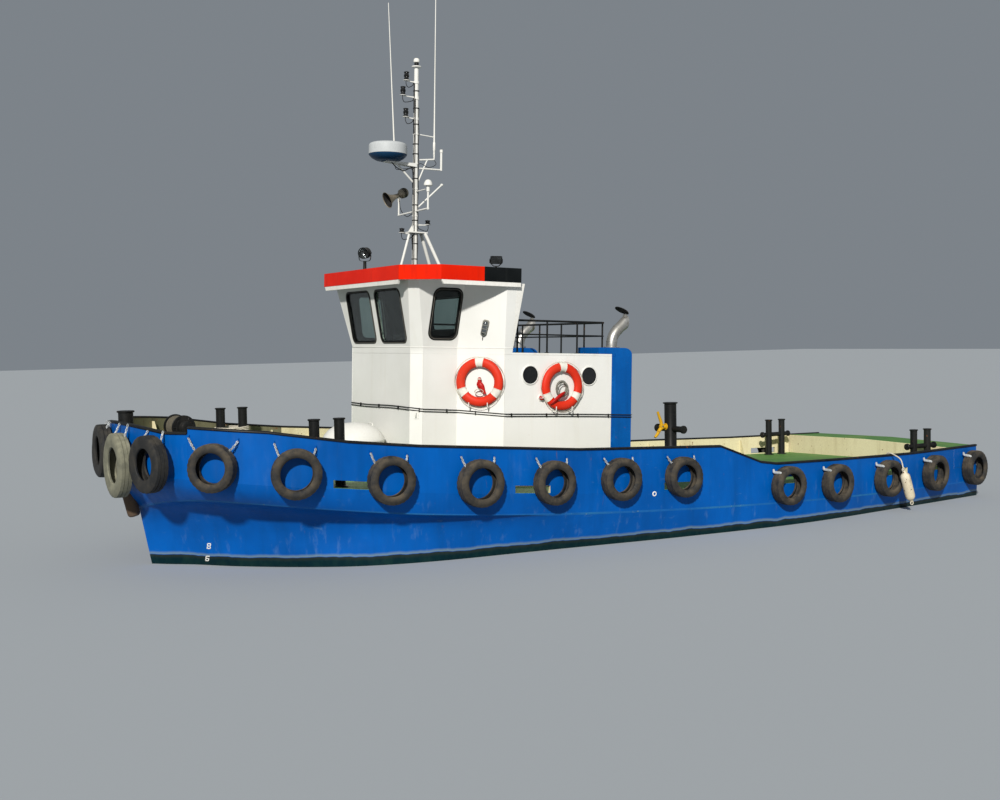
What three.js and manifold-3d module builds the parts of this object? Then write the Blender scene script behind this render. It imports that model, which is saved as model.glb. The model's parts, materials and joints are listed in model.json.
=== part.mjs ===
// A small harbour tugboat, afloat, in millimetres.
// X runs forward to the bow, Y to port and Z up. The origin is on the centreline, at the waterline.
// The superstructure leans aft by TRIM, because the boat floats a little down by the stern.
import * as THREE from 'three';
import Module from 'manifold-3d';
import { mergeVertices } from 'three/addons/utils/BufferGeometryUtils.js';

const wasm = await Module();
wasm.setup();

// Driving dimensions
const GAP = 0.3;                 // clearance between pieces that touch
const BORE_PLAY = 1.8;           // what a bore's radius has over its shaft's
const TRIM = 2;                  // degrees by the stern
const SIDES = [['port', 1], ['stbd', -1]];
const CAMBER = 40;               // rise of the deck at the centreline
const KEEL_HALF = 60;
const BULWARK = 60;              // thickness of the bulwark
const STERN_DECK_X = -7350;      // front of the raised stern deck
const STERN_DECK_Z = 990;
const STEP_X = 7280;             // where the bulwark drops at the bow
const TYRE = { radius: 330, hole: 190, width: 215, off: 9 };
const TYRE_SEGMENTS = 10;
const TYRE_SIDES = 5;
const SHAFT = { x: -6700, y: 1050, z: -1150, slope: 4, radius: 35 };
const RUDDER = { x: -7350, y: 1050, top: -730, bottom: -1560, stock: 40 };

// Hull lines from the stem to the transom, as x, half-breadth and height
const HULL_LINES = {
  deck: [[7850, 0, 1420], [7775, 600, 1415], [7570, 1150, 1400], [7240, 1650, 1370], [6600, 2150, 1310],
    [5500, 2500, 1190], [4000, 2680, 1040], [2000, 2770, 880], [-500, 2800, 760], [-3000, 2790, 680],
    [-5500, 2560, 620], [-8150, 2130, 600]],
  knuckle: [[7535, 0, 835], [7465, 480, 930], [7310, 980, 1010], [7000, 1520, 1050], [6400, 2010, 1000],
    [5400, 2400, 880], [4000, 2610, 720], [2000, 2720, 570], [-500, 2790, 450], [-3000, 2785, 380],
    [-5500, 2550, 330], [-8180, 2125, 300]],
  waterline: [[7375, 0, 0], [7160, 215, 0], [6850, 490, 0], [6400, 1000, 0], [5700, 1600, 0],
    [4900, 2080, 0], [3800, 2360, 0], [2000, 2500, 0], [-500, 2720, 0], [-3000, 2770, 0],
    [-5500, 2460, 0], [-8240, 2060, 0]],
  chine: [[6950, 0, -550], [6750, 150, -560], [6450, 420, -580], [6000, 820, -600], [5300, 1300, -630],
    [4500, 1720, -670], [3600, 2020, -710], [2000, 2230, -750], [-500, 2400, -770], [-3000, 2400, -760],
    [-5500, 2150, -640], [-8240, 1800, -420]],
  keel: [[6400, 0, -1150], [6200, KEEL_HALF, -1200], [5900, KEEL_HALF, -1230], [5500, KEEL_HALF, -1250],
    [4900, KEEL_HALF, -1260], [4200, KEEL_HALF, -1270], [3500, KEEL_HALF, -1280], [2000, KEEL_HALF, -1290],
    [-500, KEEL_HALF, -1290], [-3000, KEEL_HALF, -1200], [-5500, KEEL_HALF, -950], [-8240, KEEL_HALF, -620]],
};
const HULL_STATIONS = 31;

// Top of the bulwark aft of the step and forward of it, as x and height
const BULWARK_TOP = [[-8200, 990], [-5900, 990], [-2350, 1060], [-2000, 1110], [-1150, 1420], [1600, 1530],
  [2650, 1610], [4260, 1730], [5300, 1840], [6370, 2010], [STEP_X, 2090]];
const BOW_TOP = [[STEP_X, 2010], [7500, 2010], [7850, 2120]];

// Side tyres, the same on both sides, as x and height of the centre
const SIDE_TYRES = [[6990, 1550], [6020, 1440], [4730, 1280], [3360, 1150], [2120, 1070], [910, 1040],
  [-300, 990], [-2520, 690], [-3700, 640], [-5100, 610], [-6540, 590], [-7900, 580]];
// Bow tyres, as y, height of the centre, radius and width
const BOW_TYRES = [[1150, 1590, 400, 210], [420, 1530, 460, 200], [-430, 1680, 395, 200],
  [-1200, 1590, 390, 280]];
// Freeing ports in the bulwark, as x of the middle
const FREEING_PORTS = [5220, 2430, -300, -2700, -5500, -6700];
const FREEING = { length: 600, height: 110, above: 20 };

// Plan of the house, port half, from the front to the back, as x and y in the leaning frame
const HOUSE_LOW = [[3680, 1080], [3520, 1200], [2920, 1200], [2380, 1750], [260, 1750]];
const WHEELHOUSE_LOW = [[3680, 1080], [3520, 1200], [2920, 1200], [2380, 1750], [2238, 1750]];
const WHEELHOUSE_TOP = [[3885, 1370], [3770, 1500], [2950, 1500], [2420, 1870], [2230, 1870]];
const ROOF_PLAN = [[4062, 1420], [3610, 1930], [2200, 1930]];
const HOUSE = { wall: 60, deckTop: 2900, sill: 3000, top: 4080, roof: 4234, skirt: 4012, skirtWall: 25 };
const DECKHOUSE_ROOF = { bottom: 2900, top: 2935 };
const SOLE = { bottom: 1960, top: 2000 };
const FRONT_WINDOW = { y0: 100, y1: 990, z0: 3080, z1: 3890, corner: 90 };
const SIDE_WINDOW = { x0: 2985, x1: 3430, z0: 3150, z1: 3880, corner: 90 };
const AFT_WINDOW = { y0: -900, y1: 900, z0: 3320, z1: 3860, corner: 90 };
const GLASS = { inset: 24, thickness: 12 };
const DOOR = { half: 340, bottom: 950, top: 2780, thickness: 45 };
const DOOR_HINGE = { x: 248, y: 352, radius: 10, pin: 5, heights: [1300, 2400], length: 55 };

// Helpers that turn closed meshes into solids and back
function toSolid(geometry) {
  const bare = geometry.clone();
  bare.deleteAttribute('normal');
  bare.deleteAttribute('uv');
  const merged = mergeVertices(bare, 1e-3);
  const index = merged.index.array;
  const kept = [];
  for (let i = 0; i < index.length; i += 3) {
    const [a, b, c] = [index[i], index[i + 1], index[i + 2]];
    if (a !== b && b !== c && c !== a) kept.push(a, b, c);
  }
  const mesh = new wasm.Mesh({
    numProp: 3,
    vertProperties: new Float32Array(merged.attributes.position.array),
    triVerts: new Uint32Array(kept),
  });
  return new wasm.Manifold(mesh);
}

function toGeometry(solid) {
  const mesh = solid.getMesh();
  const geometry = new THREE.BufferGeometry();
  geometry.setAttribute('position', new THREE.BufferAttribute(mesh.vertProperties.slice(), 3));
  geometry.setIndex(new THREE.BufferAttribute(mesh.triVerts.slice(), 1));
  return geometry;
}

function union(solids) {
  return solids.reduce((whole, next) => whole.add(next));
}

// A closed skin through rings of points, with a flat fan at each end
function loft(rings) {
  const count = rings[0].length;
  const points = rings.flat();
  const faces = [];
  for (let i = 0; i + 1 < rings.length; i++) {
    for (let j = 0; j < count; j++) {
      const k = (j + 1) % count;
      const [a, b, c, d] = [i * count + j, i * count + k, (i + 1) * count + k, (i + 1) * count + j];
      faces.push([a, b, c], [a, c, d]);
    }
  }
  const ends = [[rings[0], 0, true], [rings.at(-1), (rings.length - 1) * count, false]];
  for (const [ring, start, flip] of ends) {
    const turns = ring.map((p, j) => p.clone().cross(ring[(j + 1) % count]));
    const area = turns.reduce((sum, turn) => sum.add(turn), new THREE.Vector3()).length() / 2;
    if (area < 1) continue;
    const centre = points.length;
    points.push(ring.reduce((sum, p) => sum.add(p), new THREE.Vector3()).divideScalar(count));
    for (let j = 0; j < count; j++) {
      const k = (j + 1) % count;
      faces.push(flip ? [centre, start + k, start + j] : [centre, start + j, start + k]);
    }
  }
  let volume = 0;
  for (const [a, b, c] of faces) {
    volume += points[a].dot(points[b].clone().cross(points[c]));
  }
  const geometry = new THREE.BufferGeometry();
  geometry.setFromPoints(points);
  geometry.setIndex(faces.flatMap(([a, b, c]) => (volume > 0 ? [a, b, c] : [a, c, b])));
  return geometry;
}

function box(x0, x1, y0, y1, z0, z1) {
  const geometry = new THREE.BoxGeometry(x1 - x0, y1 - y0, z1 - z0);
  geometry.translate((x0 + x1) / 2, (y0 + y1) / 2, (z0 + z1) / 2);
  return geometry;
}

// A round bar between two points
function bar(from, to, radius, sides = 6, endRadius = radius) {
  const a = new THREE.Vector3(...from);
  const b = new THREE.Vector3(...to);
  const along = b.clone().sub(a);
  const geometry = new THREE.CylinderGeometry(endRadius, radius, along.length(), sides);
  geometry.applyQuaternion(new THREE.Quaternion().setFromUnitVectors(
    new THREE.Vector3(0, 1, 0), along.clone().normalize()));
  const middle = a.add(b).multiplyScalar(0.5);
  geometry.translate(middle.x, middle.y, middle.z);
  return geometry;
}

// A tube of round section along a smooth path
function tube(points, radius, steps, sides = 8) {
  const section = new THREE.Shape();
  section.absarc(0, 0, radius, 0, 2 * Math.PI);
  const path = new THREE.CatmullRomCurve3(points.map((p) => new THREE.Vector3(...p)), false, 'centripetal');
  return new THREE.ExtrudeGeometry(section,
    { extrudePath: path, steps, curveSegments: sides, bevelEnabled: false });
}

function lathe(profile, segments) {
  return new THREE.LatheGeometry(profile.map(([r, h]) => new THREE.Vector2(r, h)), segments);
}

// A solid ring whose axis is Y, with a flattened round section
function ring(radius, hole, width, segments, sides = 6) {
  const half = (radius - hole) / 2;
  const middle = (radius + hole) / 2;
  const profile = [];
  for (let i = 0; i <= sides; i++) {
    const angle = 2 * Math.PI * i / sides + Math.PI / sides;
    const stretch = 1 / Math.cos(Math.PI / sides);
    const [out, across] = [Math.cos(angle) * stretch, Math.sin(angle) * stretch];
    profile.push([middle + half * out * 0.98, width / 2 * across * 0.9]);
  }
  profile[sides] = [...profile[0]];
  return lathe(profile, segments);
}

function roundedRect(x0, y0, x1, y1, r) {
  const shape = new THREE.Shape();
  shape.moveTo(x0 + r, y0);
  shape.lineTo(x1 - r, y0);
  shape.absarc(x1 - r, y0 + r, r, -Math.PI / 2, 0);
  shape.lineTo(x1, y1 - r);
  shape.absarc(x1 - r, y1 - r, r, 0, Math.PI / 2);
  shape.lineTo(x0 + r, y1);
  shape.absarc(x0 + r, y1 - r, r, Math.PI / 2, Math.PI);
  shape.lineTo(x0, y0 + r);
  shape.absarc(x0 + r, y0 + r, r, Math.PI, 1.5 * Math.PI);
  return shape;
}

// A shape from a list of pairs, or the shape itself
function toShape(outline) {
  if (outline instanceof THREE.Shape) return outline;
  return new THREE.Shape(outline.map((pair) => new THREE.Vector2(...pair)));
}

function extruded(outline, depth) {
  return new THREE.ExtrudeGeometry(toShape(outline), { depth, bevelEnabled: false, curveSegments: 3 });
}

// A plate of an outline in X and Y, from one height to another
function plate(outline, z0, z1) {
  const geometry = extruded(outline, z1 - z0);
  geometry.translate(0, 0, z0);
  return geometry;
}

// A block of an outline in X and Z, from one y to another
function sideBlock(outline, y0, y1) {
  const geometry = extruded(outline, y1 - y0);
  geometry.rotateX(Math.PI / 2);
  geometry.translate(0, y1, 0);
  return geometry;
}

// A block of an outline in Y and Z, from one x to another
function frontBlock(outline, x0, x1) {
  const geometry = extruded(outline, x1 - x0);
  geometry.rotateX(Math.PI / 2);
  geometry.rotateZ(Math.PI / 2);
  geometry.translate(x0, 0, 0);
  return geometry;
}

function interpolate(table, x) {
  const rows = [...table].sort((a, b) => a[0] - b[0]);
  if (x <= rows[0][0]) return rows[0][1];
  for (let i = 0; i + 1 < rows.length; i++) {
    const [x0, v0] = rows[i];
    const [x1, v1] = rows[i + 1];
    if (x <= x1) return v0 + (v1 - v0) * (x - x0) / (x1 - x0);
  }
  return rows.at(-1)[1];
}

// A closed plan from its port half
function mirrored(half) {
  return [...half, ...half.map(([x, y]) => [x, -y]).reverse()];
}

// A closed outline moved inward by a distance
function shrunk(outline, distance) {
  const area = outline.reduce((sum, [x, y], i) => {
    const [nx, ny] = outline[(i + 1) % outline.length];
    return sum + x * ny - nx * y;
  }, 0);
  const turn = area > 0 ? 1 : -1;
  return outline.map((point, i) => {
    const before = outline[(i + outline.length - 1) % outline.length];
    const after = outline[(i + 1) % outline.length];
    const lines = [[before, point], [point, after]].map(([p, q]) => {
      const length = Math.hypot(q[0] - p[0], q[1] - p[1]);
      const normal = [-(q[1] - p[1]) / length * turn, (q[0] - p[0]) / length * turn];
      return [normal, normal[0] * p[0] + normal[1] * p[1] + distance];
    });
    const [[n, c], [m, d]] = lines;
    const cross = n[0] * m[1] - n[1] * m[0];
    if (Math.abs(cross) < 1e-9) return [point[0] + n[0] * distance, point[1] + n[1] * distance];
    return [(c * m[1] - d * n[1]) / cross, (d * n[0] - c * m[0]) / cross];
  });
}

// Materials by the colour that the piece has
function paint(color, roughness = 0.5, metalness = 0) {
  return new THREE.MeshStandardMaterial({ color, roughness, metalness });
}
const BLUE = paint(0x0a55b8, 0.35);
const GREEN = paint(0x3c8a4a, 0.7);
const WHITE = paint(0xeceade, 0.4);
const RED = paint(0xe63a1e, 0.4);
const BLACK = paint(0x16171a, 0.5);
const RUBBER = paint(0x26221e, 0.9);
const GLASS_DARK = paint(0x0b1014, 0.1);
const STEEL = paint(0x9ea3a6, 0.35, 0.8);
const BRONZE = paint(0xa87b3a, 0.35, 0.9);
const ORANGE = paint(0xe2472e, 0.5);
const CREAM = paint(0xd8d0b4, 0.8);
const YELLOW = paint(0xd8b020, 0.5);
const GREY = paint(0x55585c, 0.7);

const boat = new THREE.Group();
const leaning = new THREE.Group();
leaning.rotation.y = -THREE.MathUtils.degToRad(TRIM);
boat.add(leaning);
leaning.updateMatrixWorld(true);

function place(name, shape, material, parent = boat) {
  const geometry = shape.isBufferGeometry ? shape : toGeometry(shape);
  const mesh = new THREE.Mesh(geometry, material);
  mesh.name = name;
  parent.add(mesh);
  return mesh;
}

// A solid of the boat's frame as it stands in the leaning frame
function inLeaningFrame(solid) {
  const geometry = toGeometry(solid);
  geometry.applyMatrix4(leaning.matrixWorld.clone().invert());
  return toSolid(geometry);
}

// Hull, whole below the water, with its deck, stern tubes and rudder bosses
const lines = {};
for (const [name, rows] of Object.entries(HULL_LINES)) {
  const knots = rows.map((row) => new THREE.Vector3(...row));
  lines[name] = new THREE.CatmullRomCurve3(knots, false, 'catmullrom', 0.5);
}
// A point of a hull line; between two stations it lies on the straight facet
function linePoint(name, u) {
  const place = u * (HULL_STATIONS - 1);
  const before = Math.floor(place + 1e-9);
  const point = lines[name].getPoint(Math.min(before / (HULL_STATIONS - 1), 1));
  const after = Math.min((before + 1) / (HULL_STATIONS - 1), 1);
  if (place - before > 1e-9) point.lerp(lines[name].getPoint(after), place - before);
  point.y = Math.max(point.y, 0);
  return point;
}
function deckU(x) {
  let [low, high] = [0, 1];
  for (let i = 0; i < 40; i++) {
    const middle = (low + high) / 2;
    if (linePoint('deck', middle).x > x) low = middle;
    else high = middle;
  }
  return low;
}
function hullRing(u) {
  const port = ['deck', 'knuckle', 'waterline', 'chine', 'keel'].map((name) => linePoint(name, u));
  const starboard = port.map((p) => new THREE.Vector3(p.x, -p.y, p.z)).reverse();
  const rise = port[0].y > 0 ? CAMBER : 0;
  const centre = new THREE.Vector3(port[0].x, 0, port[0].z + rise);
  return [...port, ...starboard, centre];
}
const stations = [];
for (let i = 0; i < HULL_STATIONS; i++) stations.push(i / (HULL_STATIONS - 1));
const bareHull = toSolid(loft(stations.map(hullRing)));
const slope = THREE.MathUtils.degToRad(SHAFT.slope);
function shaftPoint(x, side) {
  return [x, side * SHAFT.y, SHAFT.z + (x - SHAFT.x) * Math.tan(slope)];
}
const STERN_TUBE = { front: -3300, back: -4700, radius: 75 };
const bosses = SIDES.flatMap(([, side]) => [
  toSolid(bar(shaftPoint(STERN_TUBE.front, side), shaftPoint(STERN_TUBE.back, side), STERN_TUBE.radius, 12)),
  toSolid(bar([RUDDER.x, side * RUDDER.y, RUDDER.top], [RUDDER.x, side * RUDDER.y, -300], 90, 12)),
]);
const hull = union([bareHull, ...bosses]);
const raisedHull = bareHull.translate([0, 0, GAP]);
const leaningHull = inLeaningFrame(raisedHull);
place('hull', hull, BLUE);

// Skeg under the keel
const skegOutline = [[1500, -1250], [-500, -1560], [-5600, -1700], [-7000, -1700], [-7000, -600],
  [-3000, -1000]];
const skeg = toSolid(sideBlock(skegOutline, -50, 50)).subtract(bareHull.translate([0, 0, -GAP]));
place('skeg', skeg, GREEN);

// Raised stern deck, level with the bulwark
function upperRing(u) {
  const edge = linePoint('deck', u);
  const y = edge.y;
  return [
    new THREE.Vector3(edge.x, y, edge.z + GAP), new THREE.Vector3(edge.x, y, STERN_DECK_Z),
    new THREE.Vector3(edge.x, 0, STERN_DECK_Z + CAMBER), new THREE.Vector3(edge.x, -y, STERN_DECK_Z),
    new THREE.Vector3(edge.x, -y, edge.z + GAP), new THREE.Vector3(edge.x, 0, edge.z + CAMBER + GAP),
  ];
}
const sternStations = [deckU(STERN_DECK_X), ...stations.filter((u) => u > deckU(STERN_DECK_X) + 0.005)];
const sternDeck = toSolid(loft(sternStations.map(upperRing))).subtract(raisedHull);
place('stern_deck', sternDeck, GREEN);

// Outward direction of the deck edge in plan
function outward(u) {
  const a = linePoint('deck', Math.max(u - 0.004, 0));
  const b = linePoint('deck', Math.min(u + 0.004, 1));
  const along = new THREE.Vector3(b.x - a.x, b.y - a.y, 0).normalize();
  return new THREE.Vector3(-along.y, along.x, 0).multiplyScalar(along.x < 0 ? -1 : 1);
}
function edgePoint(u, out, z, side) {
  const p = linePoint('deck', u);
  const n = u < 1e-6 ? new THREE.Vector3(1, 0, 0) : outward(u);
  return new THREE.Vector3(p.x + n.x * out, side * Math.max(p.y + n.y * out, 0), z);
}
function edgeStrip(us, side, inner, outer, bottom, top) {
  return toSolid(loft(us.map((u) => {
    const [low, high] = [bottom(u), top(u)];
    return [edgePoint(u, outer, low, side), edgePoint(u, outer, high, side),
      edgePoint(u, inner, high, side), edgePoint(u, inner, low, side)];
  })));
}
function between(u0, u1, extra = []) {
  const inside = stations.filter((u) => u > u0 + 0.004 && u < u1 - 0.004);
  const more = extra.filter((u) => u > u0 + 0.002 && u < u1 - 0.002);
  return [u0, ...new Set([...inside, ...more]), u1].sort((a, b) => a - b);
}
const stepU = deckU(STEP_X);
const sternU = deckU(STERN_DECK_X);
const topKnots = BULWARK_TOP.map(([x]) => deckU(x));
const sideTop = (u) => interpolate(BULWARK_TOP, linePoint('deck', u).x);
const bowTop = (u) => interpolate(BOW_TOP, linePoint('deck', u).x);
const deckEdge = (u) => linePoint('deck', u).z + GAP;
const bulwarks = [];
for (const [name, side] of SIDES) {
  const along = edgeStrip(between(stepU, sternU - 0.0002, topKnots), side, -BULWARK, 0, deckEdge, sideTop);
  const bow = edgeStrip(between(0, stepU + 0.0005), side, -BULWARK, 0, deckEdge, bowTop);
  const ports = FREEING_PORTS.map((x) => {
    const z = linePoint('deck', deckU(x)).z + FREEING.above;
    const half = FREEING.length / 2;
    const [y0, y1] = side > 0 ? [1500, 3200] : [-3200, -1500];
    return toSolid(box(x - half, x + half, y0, y1, z, z + FREEING.height));
  });
  const middle = toSolid(box(-9000, 9000, side > 0 ? -500 : -GAP / 2, side > 0 ? GAP / 2 : 500, 0, 3000));
  const bulwark = along.add(bow).subtract(union(ports)).subtract(raisedHull).subtract(middle);
  bulwarks.push(bulwark);
  place(`bulwark_${name}`, bulwark, BLUE);
}

// Tyres hung from the capping rail on lashings
const RAIL = { out: 25, thick: 20, inner: -BULWARK - 5 };
const LUG = { apart: 270, out: 14, drop: 130 };
function tyreAt(centre, out, size) {
  const geometry = ring(size.radius, size.hole, size.width, TYRE_SEGMENTS, TYRE_SIDES);
  geometry.applyQuaternion(new THREE.Quaternion().setFromUnitVectors(new THREE.Vector3(0, 1, 0), out));
  geometry.translate(centre.x, centre.y, centre.z);
  return toSolid(geometry);
}
for (const [name, side] of SIDES) {
  const us = between(stepU + 0.001, 0.9995, topKnots);
  const rail = edgeStrip(us, side, RAIL.inner, RAIL.out, (u) => sideTop(u) + GAP,
    (u) => sideTop(u) + RAIL.thick);
  const pieces = [rail];
  for (const [x, z] of SIDE_TYRES) {
    const u = deckU(x);
    const n = outward(u);
    n.y *= side;
    const centre = edgePoint(u, TYRE.width / 2 + TYRE.off, z, side);
    pieces.push(tyreAt(centre, n, TYRE));
    for (const way of [-1, 1]) {
      const foot = new THREE.Vector3(way * n.y * side, -way * n.x * side, 0).multiplyScalar(210)
        .add(centre).add(new THREE.Vector3(0, 0, 205));
      const headU = Math.max(Math.min(deckU(x + way * LUG.apart), 0.999), stepU + 0.002);
      const head = edgePoint(headU, LUG.out, sideTop(headU) - LUG.drop, side);
      const root = edgePoint(headU, LUG.out, sideTop(headU) + RAIL.thick / 2, side);
      pieces.push(toSolid(bar(foot.toArray(), head.toArray(), 14, 4)));
      pieces.push(toSolid(bar(head.toArray(), root.toArray(), 10, 4)));
    }
  }
  const row = union(pieces).subtract(sternDeck.translate([0, 0, GAP])).subtract(union(bulwarks));
  place(`tyre_row_${name}`, row, RUBBER);
}

// Tyres round the bow, hung from the capping of the low bulwark
const bowPieces = [];
for (const [, side] of SIDES) {
  bowPieces.push(edgeStrip(between(0, stepU - 0.001), side, RAIL.inner, RAIL.out,
    (u) => bowTop(u) + GAP, (u) => bowTop(u) + RAIL.thick));
}
function bowU(y) {
  let [low, high] = [0, 0.5];
  for (let i = 0; i < 40; i++) {
    const middle = (low + high) / 2;
    if (linePoint('deck', middle).y < y) low = middle;
    else high = middle;
  }
  return low;
}
for (const [y, z, radius, width] of BOW_TYRES) {
  const side = Math.sign(y);
  const u = bowU(Math.abs(y));
  const n = outward(u);
  n.y *= side;
  const centre = edgePoint(u, width / 2 + 10, z, side);
  bowPieces.push(tyreAt(centre, n, { radius, hole: radius * 0.55, width }));
  for (const way of [-1, 1]) {
    const tangent = new THREE.Vector3(-n.y, n.x, 0);
    const foot = tangent.clone().multiplyScalar(way * 200).add(centre);
    foot.z += radius - 110;
    const head = tangent.multiplyScalar(way * 150).add(edgePoint(u, 24, bowTop(u) + 10, side));
    bowPieces.push(toSolid(bar(foot.toArray(), head.toArray(), 14, 4)));
  }
}
place('bow_tyres', union(bowPieces).subtract(union(bulwarks)), RUBBER);

// Round fender on the stem, under the bow tyres
const STEM_FENDER = { top: [7745, 60, 1240], bottom: [7625, 60, 740], radius: 95 };
const stemFender = toSolid(bar(STEM_FENDER.top, STEM_FENDER.bottom, STEM_FENDER.radius, 12))
  .subtract(bareHull.translate([0, 0, -GAP]));
place('stem_fender', stemFender, RUBBER);

// Propellers on their shafts, in brackets
for (const [name, side] of SIDES) {
  const group = new THREE.Group();
  group.position.set(SHAFT.x, side * SHAFT.y, SHAFT.z);
  group.rotation.y = -slope;
  boat.add(group);
  const shaftLength = (SHAFT.x - STERN_TUBE.back) / -Math.cos(slope);
  const pieces = [
    toSolid(bar([-120, 0, 0], [shaftLength - GAP, 0, 0], SHAFT.radius, 12)),
    toSolid(bar([-190, 0, 0], [110, 0, 0], 45, 12, 90)),
  ];
  for (let i = 0; i < 4; i++) {
    const blade = new THREE.Shape();
    blade.moveTo(-60, 50);
    blade.quadraticCurveTo(-190, 280, -60, 400);
    blade.quadraticCurveTo(80, 430, 130, 300);
    blade.quadraticCurveTo(140, 150, 60, 50);
    const geometry = new THREE.ExtrudeGeometry(blade, { depth: 24, bevelEnabled: false, curveSegments: 3 });
    geometry.translate(0, 0, -12);
    geometry.rotateY(side * 0.9);
    geometry.rotateX(Math.PI / 2);
    geometry.rotateX(Math.PI / 2 * i);
    pieces.push(toSolid(geometry));
  }
  place(`propeller_${name}`, union(pieces), BRONZE, group);

  const bracketX = 420;
  const boss = toSolid(bar([bracketX - 110, 0, 0], [bracketX + 110, 0, 0], 85, 12));
  const arm = toSolid(box(bracketX - 80, bracketX + 80, -14, 14, 60, 700));
  const boreTube = bar([bracketX - 200, 0, 0], [bracketX + 200, 0, 0], SHAFT.radius + BORE_PLAY, 12);
  const bore = toSolid(boreTube.rotateX(Math.PI / 12));
  group.updateMatrixWorld(true);
  const lowered = toGeometry(bareHull.translate([0, 0, -GAP]));
  lowered.applyMatrix4(group.matrixWorld.clone().invert());
  const bracket = boss.add(arm).subtract(bore).subtract(toSolid(lowered));
  place(`shaft_bracket_${name}`, bracket, GREEN, group);

  const rudderBlade = new THREE.Shape();
  rudderBlade.moveTo(190, 0);
  rudderBlade.lineTo(120, 55);
  rudderBlade.lineTo(-60, 60);
  rudderBlade.lineTo(-520, 12);
  rudderBlade.lineTo(-520, -12);
  rudderBlade.lineTo(-60, -60);
  rudderBlade.lineTo(120, -55);
  const blade = toSolid(plate(rudderBlade, RUDDER.bottom, RUDDER.top - 90));
  const stock = toSolid(bar([0, 0, RUDDER.top - 120], [0, 0, RUDDER.top - GAP], RUDDER.stock, 12));
  const rudder = place(`rudder_${name}`, blade.add(stock), GREEN);
  rudder.position.set(RUDDER.x, side * RUDDER.y, 0);
}

// House walls, hollow, with the after door cut
const houseOutline = mirrored(HOUSE_LOW);
const doorHole = roundedRect(-DOOR.half, DOOR.bottom, DOOR.half, DOOR.top, 120);
const houseWalls = toSolid(plate(houseOutline, 700, HOUSE.deckTop))
  .subtract(toSolid(plate(shrunk(houseOutline, HOUSE.wall), 600, HOUSE.deckTop + 100)))
  .subtract(toSolid(frontBlock(doorHole, 100, 500)))
  .subtract(leaningHull);
const wallHinges = DOOR_HINGE.heights.flatMap((z) => {
  const { x, y, radius, pin, length } = DOOR_HINGE;
  return [
    toSolid(bar([x, y, z - length], [x, y, z], radius, 8)),
    toSolid(box(x - 8, 270, y, y + 34, z - length, z)),
    toSolid(bar([x, y, z - length], [x, y, z + length], pin, 8)),
  ];
});
place('house_walls', union([houseWalls, ...wallHinges]), WHITE, leaning);

// Wheelhouse walls, flared above the sill, with their windows cut
function wheelhouseBlock(inset, z0 = HOUSE.deckTop + GAP, z1 = HOUSE.top) {
  const low = shrunk(mirrored(WHEELHOUSE_LOW), inset);
  const high = shrunk(mirrored(WHEELHOUSE_TOP), inset);
  const levels = [[low, z0], [low, HOUSE.sill], [high, z1]];
  return toSolid(loft(levels.map(([outline, z]) => outline.map(([x, y]) => new THREE.Vector3(x, y, z)))));
}
function windowCut(spec, shrink, way) {
  const [low, high] = way === 'side' ? [spec.x0, spec.x1] : [spec.y0, spec.y1];
  const shape = roundedRect(low + shrink, spec.z0 + shrink, high - shrink, spec.z1 - shrink, spec.corner);
  if (way === 'front') {
    return [1, -1].map((side) => {
      const geometry = frontBlock(shape, 3500, 4100);
      if (side < 0) geometry.translate(0, -spec.y0 - spec.y1, 0);
      return toSolid(geometry);
    });
  }
  if (way === 'aft') return [toSolid(frontBlock(shape, 2050, 2350))];
  return [toSolid(sideBlock(shape, 1000, 1800)), toSolid(sideBlock(shape, -1800, -1000))];
}
const openings = [[FRONT_WINDOW, 'front'], [SIDE_WINDOW, 'side'], [AFT_WINDOW, 'aft']];
let wheelhouse = wheelhouseBlock(0).subtract(wheelhouseBlock(HOUSE.wall, HOUSE.deckTop - 50, HOUSE.top + 50));
for (const [spec, way] of openings) {
  wheelhouse = wheelhouse.subtract(union(windowCut(spec, 0, way)));
}
place('wheelhouse_walls', wheelhouse, WHITE, leaning);

const paneShell = wheelhouseBlock(GLASS.inset)
  .subtract(wheelhouseBlock(GLASS.inset + GLASS.thickness, HOUSE.deckTop - 50, HOUSE.top + 50));
const paneNames = {
  front: ['glass_front_port', 'glass_front_stbd'],
  side: ['glass_side_port', 'glass_side_stbd'],
  aft: ['glass_aft'],
};
for (const [spec, way] of openings) {
  windowCut(spec, GAP, way).forEach((cut, i) => {
    place(paneNames[way][i], paneShell.intersect(cut), GLASS_DARK, leaning);
  });
}

// Wheelhouse roof with its deep fascia
const roofOutline = mirrored(ROOF_PLAN);
const roof = toSolid(plate(roofOutline, HOUSE.skirt, HOUSE.roof))
  .subtract(toSolid(plate(shrunk(roofOutline, HOUSE.skirtWall), HOUSE.skirt - 50, HOUSE.top + GAP)));
place('wheelhouse_roof', roof, RED, leaning);

// Deckhouse roof behind the wheelhouse
const deckhouseRoof = mirrored([[WHEELHOUSE_LOW.at(-1)[0] - GAP, 1750], [260, 1750]]);
const deckhousePlate = plate(deckhouseRoof, DECKHOUSE_ROOF.bottom + GAP, DECKHOUSE_ROOF.top);
place('deckhouse_roof', deckhousePlate, GREEN, leaning);

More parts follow.
